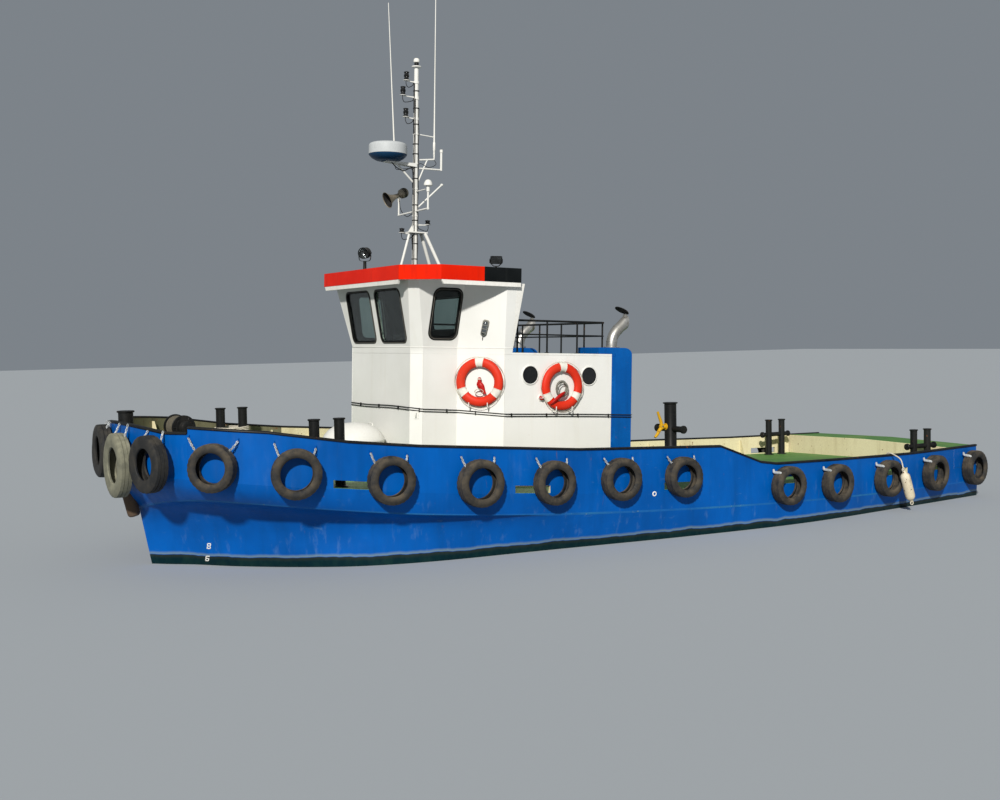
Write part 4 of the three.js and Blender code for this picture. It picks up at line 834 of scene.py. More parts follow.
for _, side in SIDES:
    hull.bar(shaft_point(-3300, side), shaft_point(-4700, side), 75, 20)
    hull.bar((-7350, side * SHAFT_Y, -730), (-7350, side * SHAFT_Y, -300), 90, 20)
hull.make("hull_plating", [HULL, DECK, KNUCKLE_WEAR_AND_HIGHLIGHT], "hull_blue", replaces=["hull"], smooth=24)

# Raised stern deck
stern_u = deck_u(STERN_DECK_X)
stern = Build()
stern_rings = []
for i in range(13):
    u = stern_u + (1 - stern_u) * i / 12
    edge = line_point("deck", u)
    section = [(1, edge.z - 4), (1, STERN_DECK_Z), (0.5, STERN_DECK_Z + CAMBER / 2),
               (0, STERN_DECK_Z + CAMBER)]
    section += [(-share, z) for share, z in reversed(section[:3])]
    stern_rings.append([vec(edge.x, edge.y * share, z) for share, z in section])
stern.grid(stern_rings, lambda i, j: 0 if j in (0, 5, 6) else 1, wrap=True)
stern.fan(stern_rings[0], 2)
stern.fan(stern_rings[-1], 0)
stern.make("stern_deck_plating", [HULL, DECK, CREAM], "deck_green", replaces=["stern_deck"], bevel=10)


# Bulwarks, with freeing ports cut through them and stays inside
PORT_SPANS = [(deck_u(x + FREEING_LENGTH / 2), deck_u(x - FREEING_LENGTH / 2)) for x in FREEING_PORTS]


def in_port(u):
    return any(start < u < end for start, end in PORT_SPANS)


def bulwark_strip(build, side, us, top, lining):
    """Plating over the deck edge, its lining and crest. Its second strake is open at the freeing ports."""
    columns = []
    for u in us:
        deck = line_point("deck", u).z
        low = deck + FREEING_ABOVE
        high = low + FREEING_HEIGHT
        crest = top(u)
        levels = [deck - 6, low, high, high + (crest - high) / 3, high + (crest - high) * 2 / 3, crest]
        columns.append(len(build.points))
        for out in (0, -BULWARK):
            build.points.extend(edge_point(u, out, z, side) for z in levels)
    n = len(levels)
    for i, (a, b) in enumerate(zip(columns, columns[1:])):
        hole = in_port((us[i] + us[i + 1]) / 2)
        for j in range(n - 1):
            if not (hole and j == 1):
                build.face((a + j, b + j, b + j + 1, a + j + 1), 0)
                build.face((a + n + j, b + n + j, b + n + j + 1, a + n + j + 1), lining)
                continue
            build.face((a + 1, b + 1, b + n + 1, a + n + 1), 2)
            build.face((a + 2, b + 2, b + n + 2, a + n + 2), lining)
            for end, beyond in ((a, us[i] - 0.0005), (b, us[i + 1] + 0.0005)):
                if not in_port(beyond):
                    build.face((end + 1, end + 2, end + n + 2, end + n + 1), lining)
        build.face((a + n - 1, b + n - 1, b + 2 * n - 1, a + 2 * n - 1), 0)
        build.face((a, b, b + n, a + n), 0)
    for start in (columns[0], columns[-1]):
        build.face((*range(start, start + n), *range(start + 2 * n - 1, start + n - 1, -1)), 0)


def split(u0, u1, count, extra=()):
    values = [u0 + (u1 - u0) * i / count for i in range(count + 1)]
    values += [u for u in extra if u0 < u < u1]
    values = sorted(values)
    return [u for i, u in enumerate(values) if i == 0 or u - values[i - 1] > 1e-5]


step_u = deck_u(STEP_X)
port_edges = [u for span in PORT_SPANS for u in span]
knot_us = [deck_u(x) for x, _ in BULWARK_TOP]
bow_lining_u = deck_u(4300)
STAY_SPACING = 760
for name, side in SIDES:
    bulwark = Build()
    bulwark_strip(bulwark, side, split(step_u, bow_lining_u, 34, port_edges), side_top, 3)
    bulwark_strip(bulwark, side, split(bow_lining_u, stern_u, 90, port_edges + knot_us), side_top, 1)
    bulwark_strip(bulwark, side, split(0, step_u, 26), bow_top, 3)
    x = STEP_X - 500
    while x > STERN_DECK_X + 300:
        u = deck_u(x)
        if not in_port(u):
            deck, crest = line_point("deck", u).z, side_top(u)
            reach = min(260, (crest - deck) * 0.45)
            outline = [(-BULWARK, deck), (-BULWARK - reach, deck), (-BULWARK - 50, crest - 60),
                       (-BULWARK, crest - 60)]
            out = outward(u, side)
            along = vec(out.y, -out.x, 0)
            bulwark.slab(edge_point(u, 0, 0, side) - along * 6, out, UP, along * 12, outline, 1)
        x -= STAY_SPACING
    bulwark.make(f"bulwark_plating_{name}", [HULL, CREAM, DECK, OLIVE], "hull_blue",
                 replaces=[f"bulwark_{name}"], bevel=3, smooth=28)

# Capping rails
RAIL_SECTION = [(-65, 0), (-62, 12), (-50, 20), (-20, 24), (10, 20), (22, 12), (25, 0), (20, -10), (-60, -10)]


def rail_strip(build, side, us, top):
    rows = [[edge_point(u, out, top(u) + rise, side) for out, rise in RAIL_SECTION] for u in us]
    build.skin(rows, 0)


for name, side in SIDES:
    rail = Build()
    rail_strip(rail, side, split(step_u + 0.001, 0.9995, 120, knot_us), side_top)
    rail_strip(rail, side, split(0, step_u - 0.001, 26), bow_top)
    rail.make(f"capping_rail_{name}", [BLACK], "black_paint")

# Tyres
TYRE_SEGMENTS = 84
TYRE_WIDTH, TYRE_OFF, TYRE_WALL = 215, 9, 124
# Radii of the side tyres, from the bow
TYRE_SIZES = (335, 350, 342, 350, 333, 333, 324, 330, 330, 330, 330, 330)
random_tyres = random.Random(11)


def tyre_profile(radius, hole, width):
    """Section of an open tyre, as radius and place across it: its outer skin, then its inner one."""
    wall = 0.12 * (radius - hole)
    middle = (radius + hole) / 2
    w = width / 2
    outer = [(hole, -0.72 * w), (hole + 10, -0.86 * w), (middle - 25, -0.99 * w), (middle + 10, -w),
             (radius - 40, -0.95 * w), (radius - 16, -0.86 * w), (radius - 3, -0.76 * w), (radius, -0.34 * w),
             (radius - 10, -0.31 * w), (radius - 10, -0.25 * w), (radius, -0.22 * w)]
    mirror = [(r, -x) for r, x in reversed(outer)]
    inner = [(hole + 6, 0.5 * w), (middle, 0.8 * w), (radius - 34 - wall, 0.72 * w),
             (radius - 26 - wall, 0.4 * w),
             (radius - 26 - wall, -0.4 * w), (radius - 34 - wall, -0.72 * w), (middle, -0.8 * w),
             (hole + 6, -0.5 * w)]
    return outer + mirror + inner


# Points of the section on the tread and on the shoulders, and how far every third block is lowered there
TREAD, SHOULDERS = (5, 6, 15, 16), (4, 17)
TREAD_LOWER, SHOULDER_LOWER = 6, 3


def add_tyre(build, centre, axis, radius, hole, width, mark=0):
    """A slightly oval tyre with blocks in its tread."""
    phase = random_tyres.uniform(0, 6.28)
    oval = random_tyres.uniform(0.004, 0.016)
    offset = random_tyres.randrange(6)

    def shape(i, profile):
        stretch = 1 + oval * cos(4 * pi * i / TYRE_SEGMENTS + phase)
        ring = []
        for k, (r, x) in enumerate(profile):
            if (i + offset) % 3 == 2:
                r -= TREAD_LOWER * (k in TREAD) + SHOULDER_LOWER * (k in SHOULDERS)
            ring.append((r * stretch, x))
        return ring

    build.lathe(tyre_profile(radius, hole, width), centre, axis, TYRE_SEGMENTS, mark, loop=True, shape=shape)


LINK = {"pitch": 33, "length": 52, "width": 37, "wire": 6.5}


def add_chain(build, a, b, sag=25, mark=0):
    """Chain links from a to b, turned by a quarter from one to the next."""
    a, b = Vector(a), Vector(b)
    count = max(2, round((b - a).length / LINK["pitch"]))
    for i in range(count):
        share = (i + 0.5) / count
        centre = a.lerp(b, share) - UP * (sag * 4 * share * (1 - share))
        along = (b - a - UP * (sag * 4 * (1 - 2 * share))).normalized()
        across = along.orthogonal().normalized()
        across = Matrix.Rotation(pi / 2 * (i % 2) + 0.4, 3, along) @ across
        half = LINK["length"] / 2 - LINK["wire"]
        wide = LINK["width"] / 2 - LINK["wire"]
        loop = []
        for k, turn in enumerate(angles(12)):
            reach = cos(turn) * wide + copysign(half - wide, cos(turn)) if k % 6 != 3 else 0
            loop.append(centre + along * reach + across * sin(turn) * wide)
        build.tube(loop, LINK["wire"], 5, mark, closed=True)


def add_lug(build, head, out, mark=0):
    """An eye plate that stands out of the bulwark."""
    along = vec(out.y, -out.x, 0)
    outline = [(-34, -40), (34, -40), (34, 10), (20, 34), (-20, 34), (-34, 10)]
    build.slab(head + out * 2 - along * 6, UP, out * 0.6, along * 12, outline, mark)


LUG_APART, LUG_DROP = 270, 130
# The after tyres hang by one strap each, with knots, and the others by two chains
FIRST_ON_STRAP = 7
STRAP_RADII = [15, 18, 21, 22, 22, 21, 20, 22, 23, 22, 21, 19, 16]
for name, side in SIDES:
    tyres = Build()
    lashings = Build()
    for number, (x, z) in enumerate(SIDE_TYRES):
        u = deck_u(x)
        out = outward(u, side)
        centre = edge_point(u, TYRE_WIDTH / 2 + TYRE_OFF, z, side)
        add_tyre(tyres, centre, out, TYRE_SIZES[number], TYRE_SIZES[number] - TYRE_WALL, TYRE_WIDTH)
        along = vec(out.y * side, -out.x * side, 0)
        for way in (-1, 1):
            head_u = max(min(deck_u(x + way * LUG_APART), 0.999), step_u + 0.002)
            head = edge_point(head_u, 14, side_top(head_u) - LUG_DROP, side)
            foot = centre + along * (way * 205) + UP * 215
            on_strap = number >= FIRST_ON_STRAP
            if on_strap and way < 0:
                continue
            add_lug(lashings, head, out, 1)
            if on_strap:
                strap = [head + out * 18 + UP * 30, head + out * 40 - UP * 20,
                         (head * 0.4 + foot * 0.6) + out * 70, foot + out * 50 + along * 20]
                lashings.tube(smooth_path(strap, len(STRAP_RADII) - 1), STRAP_RADII, 8, 0)
                for k in range(3):
                    knot = strap[1].lerp(strap[2], 0.25 + 0.25 * k)
                    lashings.tube([knot - out * 6, knot + out * 12], 25, 10, 0)
            else:
                add_chain(lashings, head + out * 22, foot + out * 10)
    tyres.make(f"tyres_{name}", [TYRE], "tyre_rubber", replaces=[f"tyre_row_{name}"], smooth=40)
    lashings.make(f"lashings_{name}", [CHAIN, HULL], "exhaust_steel", smooth=40)

# Tyres and fender at the bow
# How far each bow tyre is turned, in degrees, and moved out
BOW_TURNS, BOW_SHIFTS = (-13, -6, 4, 0), (55, 20, 10, 0)
PALE_BOW_TYRE = 1
bow = Build()
bow_chain = Build()
for number, (y, z, radius, width) in enumerate(BOW_TYRES):
    side = 1 if y > 0 else -1
    u = bow_u(abs(y))
    out = outward(u, side)
    centre = edge_point(u, width / 2 + 10, z, side)
    face = Matrix.Rotation(radians(BOW_TURNS[number]), 3, "Z") @ out
    add_tyre(bow, centre + out * BOW_SHIFTS[number], face, radius, radius * 0.55, width,
             1 if number == PALE_BOW_TYRE else 0)
    along = vec(-out.y, out.x, 0)
    for way in (-1, 1):
        foot = centre + along * (way * 200) + UP * (radius - 110)
        head = edge_point(u, 24, bow_top(u) + 10, side) + along * (way * 150)
        add_chain(bow_chain, head, foot + out * 20, 10)
bow.make("bow_tyre_set", [TYRE_DARK, TYRE_PALE], "tyre_rubber", replaces=["bow_tyres"], smooth=40)
bow_chain.make("bow_lashings", [CHAIN], "exhaust_steel", smooth=40)
stem = Build()
stem_top, stem_foot = vec(7745, 60, 1240), vec(7625, 60, 740)
stem_axis = (stem_foot - stem_top).normalized()
stem_length = (stem_foot - stem_top).length
stem.lathe([(0, 0), (70, 0), (92, 12), (95, 40), (93, stem_length - 60), (88, stem_length - 20),
            (70, stem_length), (0, stem_length)], stem_top, stem_axis, 28)
stem.make("stem_fender_rubber", [FENDER_RUST], "tyre_rubber", replaces=["stem_fender"])

# Wheelhouse trim: the surfaces of its flared walls, in the leaning frame
SILL, EAVE = 3000, 1080


def on_front(y, z):
    return vec(3680 + (z - SILL) * 205 / EAVE, y, z)


def on_side(x, z, side):
    return vec(x, side * (1200 + (z - SILL) * 300 / EAVE), z)


def on_aft(y, z):
    return vec(2238 - (z - SILL) * 8 / EAVE, y, z)


def add_band(build, inner, outer, place, out, low, high, mark=0):
    """A raised band between two outlines of as many points."""
    rows = []
    for (u0, v0), (u1, v1) in zip(inner, outer):
        a, b = place(u0, v0), place(u1, v1)
        rows.append([a + out * low, a + out * (high - 4), a.lerp(b, 0.2) + out * high,
                     a.lerp(b, 0.8) + out * high, b + out * (high - 4), b + out * low])
    build.grid(rows, mark, wrap=True, close=True)


def window_bands(build, x0, z0, x1, z1, corner, place, out, wide):
    def ring(grow):
        return rounded(x0 - grow, z0 - grow, x1 + grow, z1 + grow, corner + grow)
    add_band(build, ring(-14), ring(wide), place, out, -22, 9, 0)
    add_band(build, ring(wide * 0.3), ring(wide * 0.3 + 5), place, out, 6, 11, 1)


gaskets = Build()
front_out = vec(EAVE, 0, -205).normalized()
for _, side in SIDES:
    low, high = sorted((side * 100, side * 990))
    window_bands(gaskets, low, 3080, high, 3890, 90, on_front, front_out, 24)
    side_out = vec(0, side * EAVE, -300).normalized()
    window_bands(gaskets, 2985, 3150, 3430, 3880, 90, lambda x, z: on_side(x, z, side), side_out, 40)
window_bands(gaskets, -900, 3320, 900, 3860, 90, on_aft, vec(-1, 0, -8 / EAVE).normalized(), 24)
gaskets.make("window_gaskets", [GASKET, GREY_PLASTIC], "black_paint", leaning=True, smooth=40)

# White strips under the fascia, and the wing plates at its ends
FASCIA_FOOT, STRIP_FOOT, STRIP_THICK = 4012, 3946, 38
STRIP_X, STRIP_Y = 4018, 1888
strips = Build()
strips.plate("x", STRIP_X, STRIP_X + STRIP_THICK,
             [(-1400, FASCIA_FOOT), (-1360, STRIP_FOOT), (1360, STRIP_FOOT), (1400, FASCIA_FOOT)])
for _, side in SIDES:
    strips.plate("y", side * STRIP_Y, side * (STRIP_Y + STRIP_THICK),
                 [(2205, FASCIA_FOOT), (2205, STRIP_FOOT), (3560, STRIP_FOOT), (3600, FASCIA_FOOT)])
    wing = [(2236, 2938), (2228, 3000), (2097, 3985), (2097, 4004), (2231, 4004), (2236, 3000)]
    strips.prism(wing, lambda x, z, w: vec(x, side * (1740 + 10 * w + max(z - SILL, 0) * 120 / EAVE), z))
strips.make("fascia_strips", [TRIM_WHITE], "white_paint", leaning=True, bevel=2)

# Seam beads between the plates of the house, and the ledge at the sill
HOUSE_SIDE = 1750
HOUSE_PLAN = [(3680, 1080), (3520, 1200), (2920, 1200), (2380, HOUSE_SIDE), (260, HOUSE_SIDE)]
ledge = Build()
sill_path = [(x, y, SILL) for x, y in HOUSE_PLAN[:4]] + [(2236, HOUSE_SIDE, SILL)]
ledge.tube([(x, -y, z) for x, y, z in reversed(sill_path)] + sill_path, 7, 8)
for _, side in SIDES:
    for x, y in HOUSE_PLAN[:4]:
        ledge.tube([(x, side * y, 1180), (x, side * y, SILL)], 4.5, 6)
ledge.make("plate_seams", [WHITE], "white_paint", leaning=True, smooth=50)

# Guard cables round the house, on clips
GUARD = [(3680, 2065), (3520, 2044), (2925, 2023), (2380, 1978), (1555, 1969), (735, 1957), (-70, 1938)]
GUARD_XS = [3655, 3600, 3540, 3500, 3400, 3225, 3050, 2940, 2900, 2830, 2700, 2560, 2450, 2400, 2350, 2200,
            1900, 1555, 1200, 735, 400, 150, -72]
GUARD_YS = (1070, 1000, 800, 500, 200, -200, -500, -800, -1000, -1070)
GUARD_FRONT_X, GUARD_FRONT_Z = 3695, 2068
CLIPS, FRONT_CLIPS = (3560, 3100, 2700, 2250, 1600, 1000, 400), (-700, 0, 700)
CABLE_APART, CLIP_HALF, CLIP_OVER = 36, 7, 12


def house_y(x):
    """Half-breadth of the house at x, on its outline."""
    return HOUSE_SIDE if x < HOUSE_PLAN[-1][0] else interpolate(HOUSE_PLAN, x)


guards = Build()
for drop in (0, CABLE_APART):
    port_path = [(x, house_y(x) + 15, interpolate(GUARD, x) - drop) for x in GUARD_XS]
    front_path = [(GUARD_FRONT_X, y, GUARD_FRONT_Z - drop + 6 * sin(y / 300)) for y in GUARD_YS]
    other_path = [(x, -y, z) for x, y, z in port_path]
    guards.tube(smooth_path([*reversed(port_path), *front_path, *other_path], 240), 7, 8)
for side, x in [(side, x) for side in (1, -1) for x in CLIPS]:
    step = (house_y(x - 12) - house_y(x + 12)) / 24
    along = vec(-1, side * step, 0).normalized()
    out = vec(step, side, 0).normalized()
    root = vec(x, side * house_y(x), interpolate(GUARD, x) - CABLE_APART - CLIP_OVER)
    tall = CABLE_APART + 2 * CLIP_OVER
    guards.slab(root, along, UP, out * 23,
                [(-CLIP_HALF, 0), (CLIP_HALF, 0), (CLIP_HALF, tall), (-CLIP_HALF, tall)])
for y in FRONT_CLIPS:
    guards.block((3680, y - CLIP_HALF, GUARD_FRONT_Z - CABLE_APART - CLIP_OVER),
                 (3704, y + CLIP_HALF, GUARD_FRONT_Z + CLIP_OVER))
guards.make("guard_cables", [CABLE], "black_paint", leaning=True, smooth=50)

# Portholes, lamps and eyes on the house sides
PORTHOLES = ((1911, 2587), (792, 2575))
ports = Build()
fittings = Build()
for _, side in SIDES:
    axis = PORT * side
    for x, z in PORTHOLES:
        base = vec(x, side * HOUSE_SIDE, z)
        ports.lathe([(138, 2), (138, 12), (142, 17), (152, 17), (157, 12), (157, -2)], base, axis, 48, 0)
        ports.lathe([(126, 3), (126, 10), (129, 13), (138, 13), (138, 3)], base, axis, 48, 1)
        ports.lathe([(0, 8), (60, 7), (127, 5)], base, axis, 48, 2)
        ports.bolts(base + axis * 16, FORE * 148, UP * 148, axis, 8, [(0, 6), (5, 5), (6, 0)])
    lamp = vec(1710, side * HOUSE_SIDE, 2224)
    fittings.lathe([(0, 14), (48, 14), (52, 8), (52, -2)], lamp, axis, 24, 0)
    fittings.lathe([(36, 12), (37, 34), (32, 56), (20, 70), (0, 76)], lamp, axis, 24, 1)
    for turn in (0, 1.047, 2.094):
        hoop = [lamp + vec(44 * cos(turn), side * (14 + 70 * sin(rise)), 44 * sin(turn)) for rise in (0, 0.8)]
        fittings.tube([*hoop, lamp + axis * 86], 3.5, 6)
    eye = vec(3600, side * 1140, 1950)
    out = vec(0.6, side * 0.8, 0)
    fittings.slab(eye, vec(-0.8, side * 0.6, 0), UP, out * 8, rounded(-40, -60, 40, 60, 12))
    fittings.tube([eye + out * (20 + 26 * sin(t)) + UP * (34 * cos(t)) for t in angles(20, 0, 11)], 8, 8)
ports.make("portholes", [WHITE, GASKET, LAMP_GLASS], "white_paint", leaning=True, smooth=40)
fittings.make("house_fittings", [WHITE, RED], "white_paint", leaning=True, smooth=40)

# Wall lamps on the slanted panels
LAMP_DOME = ((1.0, -6), (0.97, 22), (0.86, 40), (0.6, 50), (0.2, 54))
LAMP_CABLE = ((0, -126, -6), (0, -170, 0), (10, -230, -14), (14, -300, -22))
lamps = Build()
for _, side in SIDES:
    high, low = vec(2687, side * 1502, 3435), vec(2558, side * 1596, 3188)
    up = (vec(2675, side * 1622, 3435) - vec(2640, side * 1488, 3188)).normalized()
    out = vec(0.66, side * 0.72, -0.22).normalized()
    up = (up - out * up.dot(out)).normalized()
    across = up.cross(out)
    centre = (high + low) / 2 + out * 22

    def on_lamp(u, v, w):
        return centre + across * u + up * v + out * w
    lamps.slab(on_lamp(0, 0, -30), across, up, out * 26, rounded(-52, -130, 52, 130, 34))
    rows = [[on_lamp(u * share, v * (1 - (1 - share) * 0.5), rise)
             for u, v in rounded(-42, -118, 42, 118, 40)]
            for share, rise in LAMP_DOME]
    lamps.grid(rows, 1, wrap=True)
    lamps.fan(rows[-1], 1)
    for v in (-60, 0, 60):
        lamps.tube([on_lamp(46 * cos(t), v, 8 + 52 * sin(t)) for t in angles(20, 0, 11)], 4, 6)
    lamps.tube(smooth_path([on_lamp(*spot) for spot in LAMP_CABLE], 12), 7, 8, 2)
lamps.make("wall_lamps", [GREY_PLASTIC, LENS, CABLE], "white_plastic", leaning=True, smooth=40)

# Lifebuoys, with bands, grab line and bracket
BUOY_RADIUS, BUOY_HOLE, BUOY_WIDTH, BUOY_OFF = 380, 236, 100, 3
BUOY_MIDDLE, BUOY_HALF = (BUOY_RADIUS + BUOY_HOLE) / 2, (BUOY_RADIUS - BUOY_HOLE) / 2
BUOY_SECTION = [(BUOY_MIDDLE + BUOY_HALF * cos(t), BUOY_WIDTH / 2 * sin(t)) for t in angles(18)]
BUOY_SEGMENTS, BAND_APART, BAND_HALF = 72, 120, 9
SLANT = atan2(550, 540)
BUOYS = (("fore", (2650, 1475), SLANT, 2469), ("aft", (1339, HOUSE_SIDE), 0.0, 2407))
# Sizes along the light's bag and the line's bag
LIGHT_BAG = ((0, 26), (0.1, 46), (0.3, 62), (0.5, 52), (0.75, 38), (1, 26))
LINE_BAG = ((0, 26), (0.1, 52), (0.35, 66), (0.65, 60), (0.9, 46), (1, 26))


def in_band(i, _):
    angle = 360 * (i + 0.5) / BUOY_SEGMENTS % BAND_APART
    return 1 if min(angle, BAND_APART - angle) < BAND_HALF else 0


for (name, side), (where, (x, y), slant, z) in [(s, b) for s in SIDES for b in BUOYS]:
    out = vec(sin(slant), side * cos(slant), 0)
    along = vec(cos(slant), -side * sin(slant), 0)
    wall = vec(x, side * y, z)
    centre = wall + out * (BUOY_WIDTH / 2 + BUOY_OFF)
    buoy = Build()
    buoy.lathe(BUOY_SECTION, centre, out, BUOY_SEGMENTS, in_band, loop=True, first=UP)
    for turn in [radians(BAND_APART * k + edge) for k in range(3) for edge in (-10.5, 10.5)]:
        reach = UP * cos(turn) + out.cross(UP) * sin(turn)
        ring = circle(centre + reach * BUOY_MIDDLE, reach * (BUOY_HALF + 3), out * (BUOY_WIDTH / 2 + 3), 20)
        buoy.tube(ring, 3.5, 6, 1, closed=True)
    line = []
    for turn in angles(90):
        reach = UP * cos(turn) + out.cross(UP) * sin(turn)
        slack = 22 * abs(sin(1.5 * turn)) ** 0.7
        line.append(centre + reach * (BUOY_RADIUS + 6 + slack) + out * (6 * sin(6 * turn) + 8))
    buoy.tube(line, 5, 6, 2, closed=True)
    buoy.make(f"lifebuoy_ring_{where}_{name}", [ORANGE, BANDS, ROPE], "lifebuoy_orange",
              replaces=[f"lifebuoy_{where}_{name}"], leaning=True, smooth=50)
    bracket = Build()
    for shift in (-150, 150):
        foot = wall - UP * (BUOY_RADIUS - 30) + along * shift
        bracket.tube(smooth_path([foot - UP * 10, foot - UP * 42 + out * 30, foot - UP * 48 + out * 112,
                                  foot + UP * 34 + out * 128], 12), 8, 8)
        bracket.slab(foot - UP * 26, along, UP, out * 6, rounded(-24, -34, 24, 34, 8))
    if where == "fore":
        light = centre + UP * 70 + out * 4
        bracket.skin([circle(light - UP * (60 + 190 * share) - along * (90 * share ** 1.5), along * size,
                             out * (size * 0.55), 18) for share, size in LIGHT_BAG], 1)
        base = light - UP * 150
        bracket.lathe([(0, 0), (26, 2), (30, 20), (30, 120), (22, 150), (0, 158)], base, UP, 20, 1)
        bracket.lathe([(30, 118), (32, 122), (32, 132), (30, 136)], base, UP, 20, 2)
        bracket.block(light - vec(20, 20, 30), light + vec(20, 20, -24))
        coil = [centre - UP * (150 - 40 * cos(t)) + along * (70 * sin(t)) + out * (10 + 1.2 * t)
                for t in angles(20, 0, 70)]
        bracket.tube(coil, 4.5, 6, 2)
    else:
        for k in range(7):
            size = 88 + 9 * (k % 3)
            middle = centre - UP * (20 + 4 * k) + along * (6 * (k % 2)) + out * (12 * k - 34)
            ring = [middle + along * ((size + 4 * sin(3 * t + k)) * sin(t))
                    + UP * ((size * 1.15 + 5 * cos(2 * t + k)) * cos(t)) for t in angles(32)]
            bracket.tube(ring, 7, 6, 3, closed=True)
        cover = centre - UP * 90 + out * 58
        bracket.skin([circle(cover + (along * 230 - UP * 190) * share, along * (size * 0.9),
                             UP * (size * 0.48) + out * (size * 0.75), 18) for share, size in LINE_BAG], 1)
    bracket.make(f"lifebuoy_bracket_{where}_{name}", [WHITE, RED, ROPE, ROPE_GREY], "white_paint",
                 leaning=True, smooth=50)

# Mast on three legs, with its platform and arms
ROOF_Z = 4234
MAST_X, MAST_TOP, COLLAR = 3075, 7580, 4870
RADAR_X, RADAR_Z = 3575, 6000
ARM_Z, ARM_STBD, ARM_PORT = 5215, -600, 455
WHIP_X, WHIP_FOOT, WHIP_TIP = 2735, 6180, 8750
FORE_WHIP_X, FORE_WHIP_Y = 3290, -330
# Height, reach forward and count of lamps on each arm
MAST_LAMPS = ((7330, 180, 2), (7085, 240, 2), (6740, 185, 2), (5020, -235, 1), (4862, 235, 1))
# Foot of each leg and of the mast, with the radius of its plate
LEG_FORE, LEG_AFT, LEG_Y = MAST_X + 270, MAST_X - 425, 190
FEET = [(LEG_FORE, 0, 45), (LEG_AFT, LEG_Y, 58), (LEG_AFT, -LEG_Y, 58), (MAST_X, 0, 90)]
# Path, radius and sides of each bar on the mast
MAST_BARS = (
    ([(LEG_FORE, 0, ROOF_Z), (MAST_X + 95, 0, COLLAR + 5)], 21, 14),
    ([(LEG_AFT, LEG_Y, ROOF_Z), (MAST_X - 150, 70, COLLAR + 5)], 28, 14),
    ([(LEG_AFT, -LEG_Y, ROOF_Z), (MAST_X - 150, -70, COLLAR + 5)], 28, 14),
    ([(MAST_X, 0, 5660), (3430, 0, RADAR_Z - 12)], 16, 12),
    ([(FORE_WHIP_X, -40, RADAR_Z - 12), (FORE_WHIP_X, FORE_WHIP_Y, RADAR_Z + 10)], 14, 12),
    ([(FORE_WHIP_X, FORE_WHIP_Y, RADAR_Z), (FORE_WHIP_X, FORE_WHIP_Y, 6090)], 14, 12),
    ([(MAST_X, 0, 6485), (WHIP_X + 15, 0, 6465)], 10, 10),
    ([(MAST_X, 0, 6060), (WHIP_X, 0, 6100), (WHIP_X, 0, WHIP_FOOT - 2)], 15, 12),
    ([(MAST_X - 40, 0, 5690), (2860, 0, 6085)], 12, 10),
    ([(MAST_X, 0, 5930), (2600, 0, 5940)], 14, 12),
    ([(2600, 0, 5925), (2600, 0, 6270)], 19, 14),
    ([(MAST_X - 25, 0, 5270), (2585, 0, 5695)], 14, 12),
    ([(MAST_X, ARM_STBD - 14, ARM_Z), (MAST_X, ARM_PORT + 14, ARM_Z + 20)], 15, 12),
    ([(MAST_X, ARM_STBD, ARM_Z), (MAST_X, ARM_STBD, 5440)], 14, 12),
    ([(MAST_X, ARM_PORT, ARM_Z), (MAST_X, ARM_PORT, 5500)], 16, 12),
    ([(MAST_X, 0, 5545), (MAST_X, ARM_PORT, 5550)], 10, 10),
)
mast = Build()
mast.tube([(MAST_X, 0, z) for z in (ROOF_Z + 2, 5600, 6900, MAST_TOP)], [44, 42, 40, 36], 20)
for path, radius, sides in MAST_BARS:
    mast.tube(path, radius, sides)
for z in (5150, 5590, 6000, 6480, 7050):
    mast.tube([(MAST_X, 0, z - 14), (MAST_X, 0, z + 14)], 48, 20)
mast.block((2885, -95, COLLAR), (3205, 95, COLLAR + 20))
for y in (30, -30):
    mast.plate("y", y, y + 6,
               [(MAST_X + 38, COLLAR + 20), (MAST_X + 110, COLLAR + 20), (MAST_X + 38, COLLAR + 130)])
for x, y, size in FEET:
    mast.lathe([(0, 12), (size - 4, 12), (size, 8), (size, 0), (0, 0)], (x, y, ROOF_Z))
    mast.bolts((x, y, ROOF_Z + 12), FORE * (size - 12), PORT * (size - 12), UP, 4, [(0, 9), (7, 9), (8, 0)])
mast.lathe([(0, 0), (80, 0), (80, 16), (30, 18), (0, 18)], (MAST_X, 0, MAST_TOP - 16), segments=28)
for y in (-60, 52):
    mast.plate("y", y, y + 8, [(MAST_X, RADAR_Z - 60), (RADAR_X - 40, RADAR_Z - 22),
                               (RADAR_X + 60, RADAR_Z - 18), (RADAR_X + 60, RADAR_Z), (MAST_X, RADAR_Z)])
mast.block((MAST_X, -60, RADAR_Z - 8), (RADAR_X + 60, 60, RADAR_Z))
mast.lathe([(19, 0), (26, 0), (26, 46), (19, 50)], (2600, 0, 6224), segments=20)
mast.lathe([(0, -20), (18, -18), (26, 0), (18, 18), (0, 20)], (2585, 0, 5695), segments=16)
mast.lathe([(16, 0), (28, 4), (28, 96), (16, 100)], (MAST_X, ARM_PORT, 5498), segments=20)
mast.lathe([(0, 0), (66, 2), (72, 12), (68, 40), (52, 76), (30, 96), (0, 104)], (MAST_X, ARM_PORT, 5594),
           segments=28)
for z, reach, _ in MAST_LAMPS:
    tip = MAST_X + reach
    mast.plate("y", -14, 14, [(MAST_X, z - 26), (tip - copysign(30, reach), z - 12), (tip, z - 8), (tip, z),
                              (MAST_X, z)])
    mast.lathe([(0, 0), (52, 0), (54, 4), (52, 8), (0, 8)], (tip, 0, z))
    mast.tube([(MAST_X, 0, z - 34), (MAST_X, 0, z + 6)], 46, 20)
mast.make("mast_frame", [WHITE], "white_paint", replaces=["mast"], leaning=True, smooth=40, bevel=1.5)

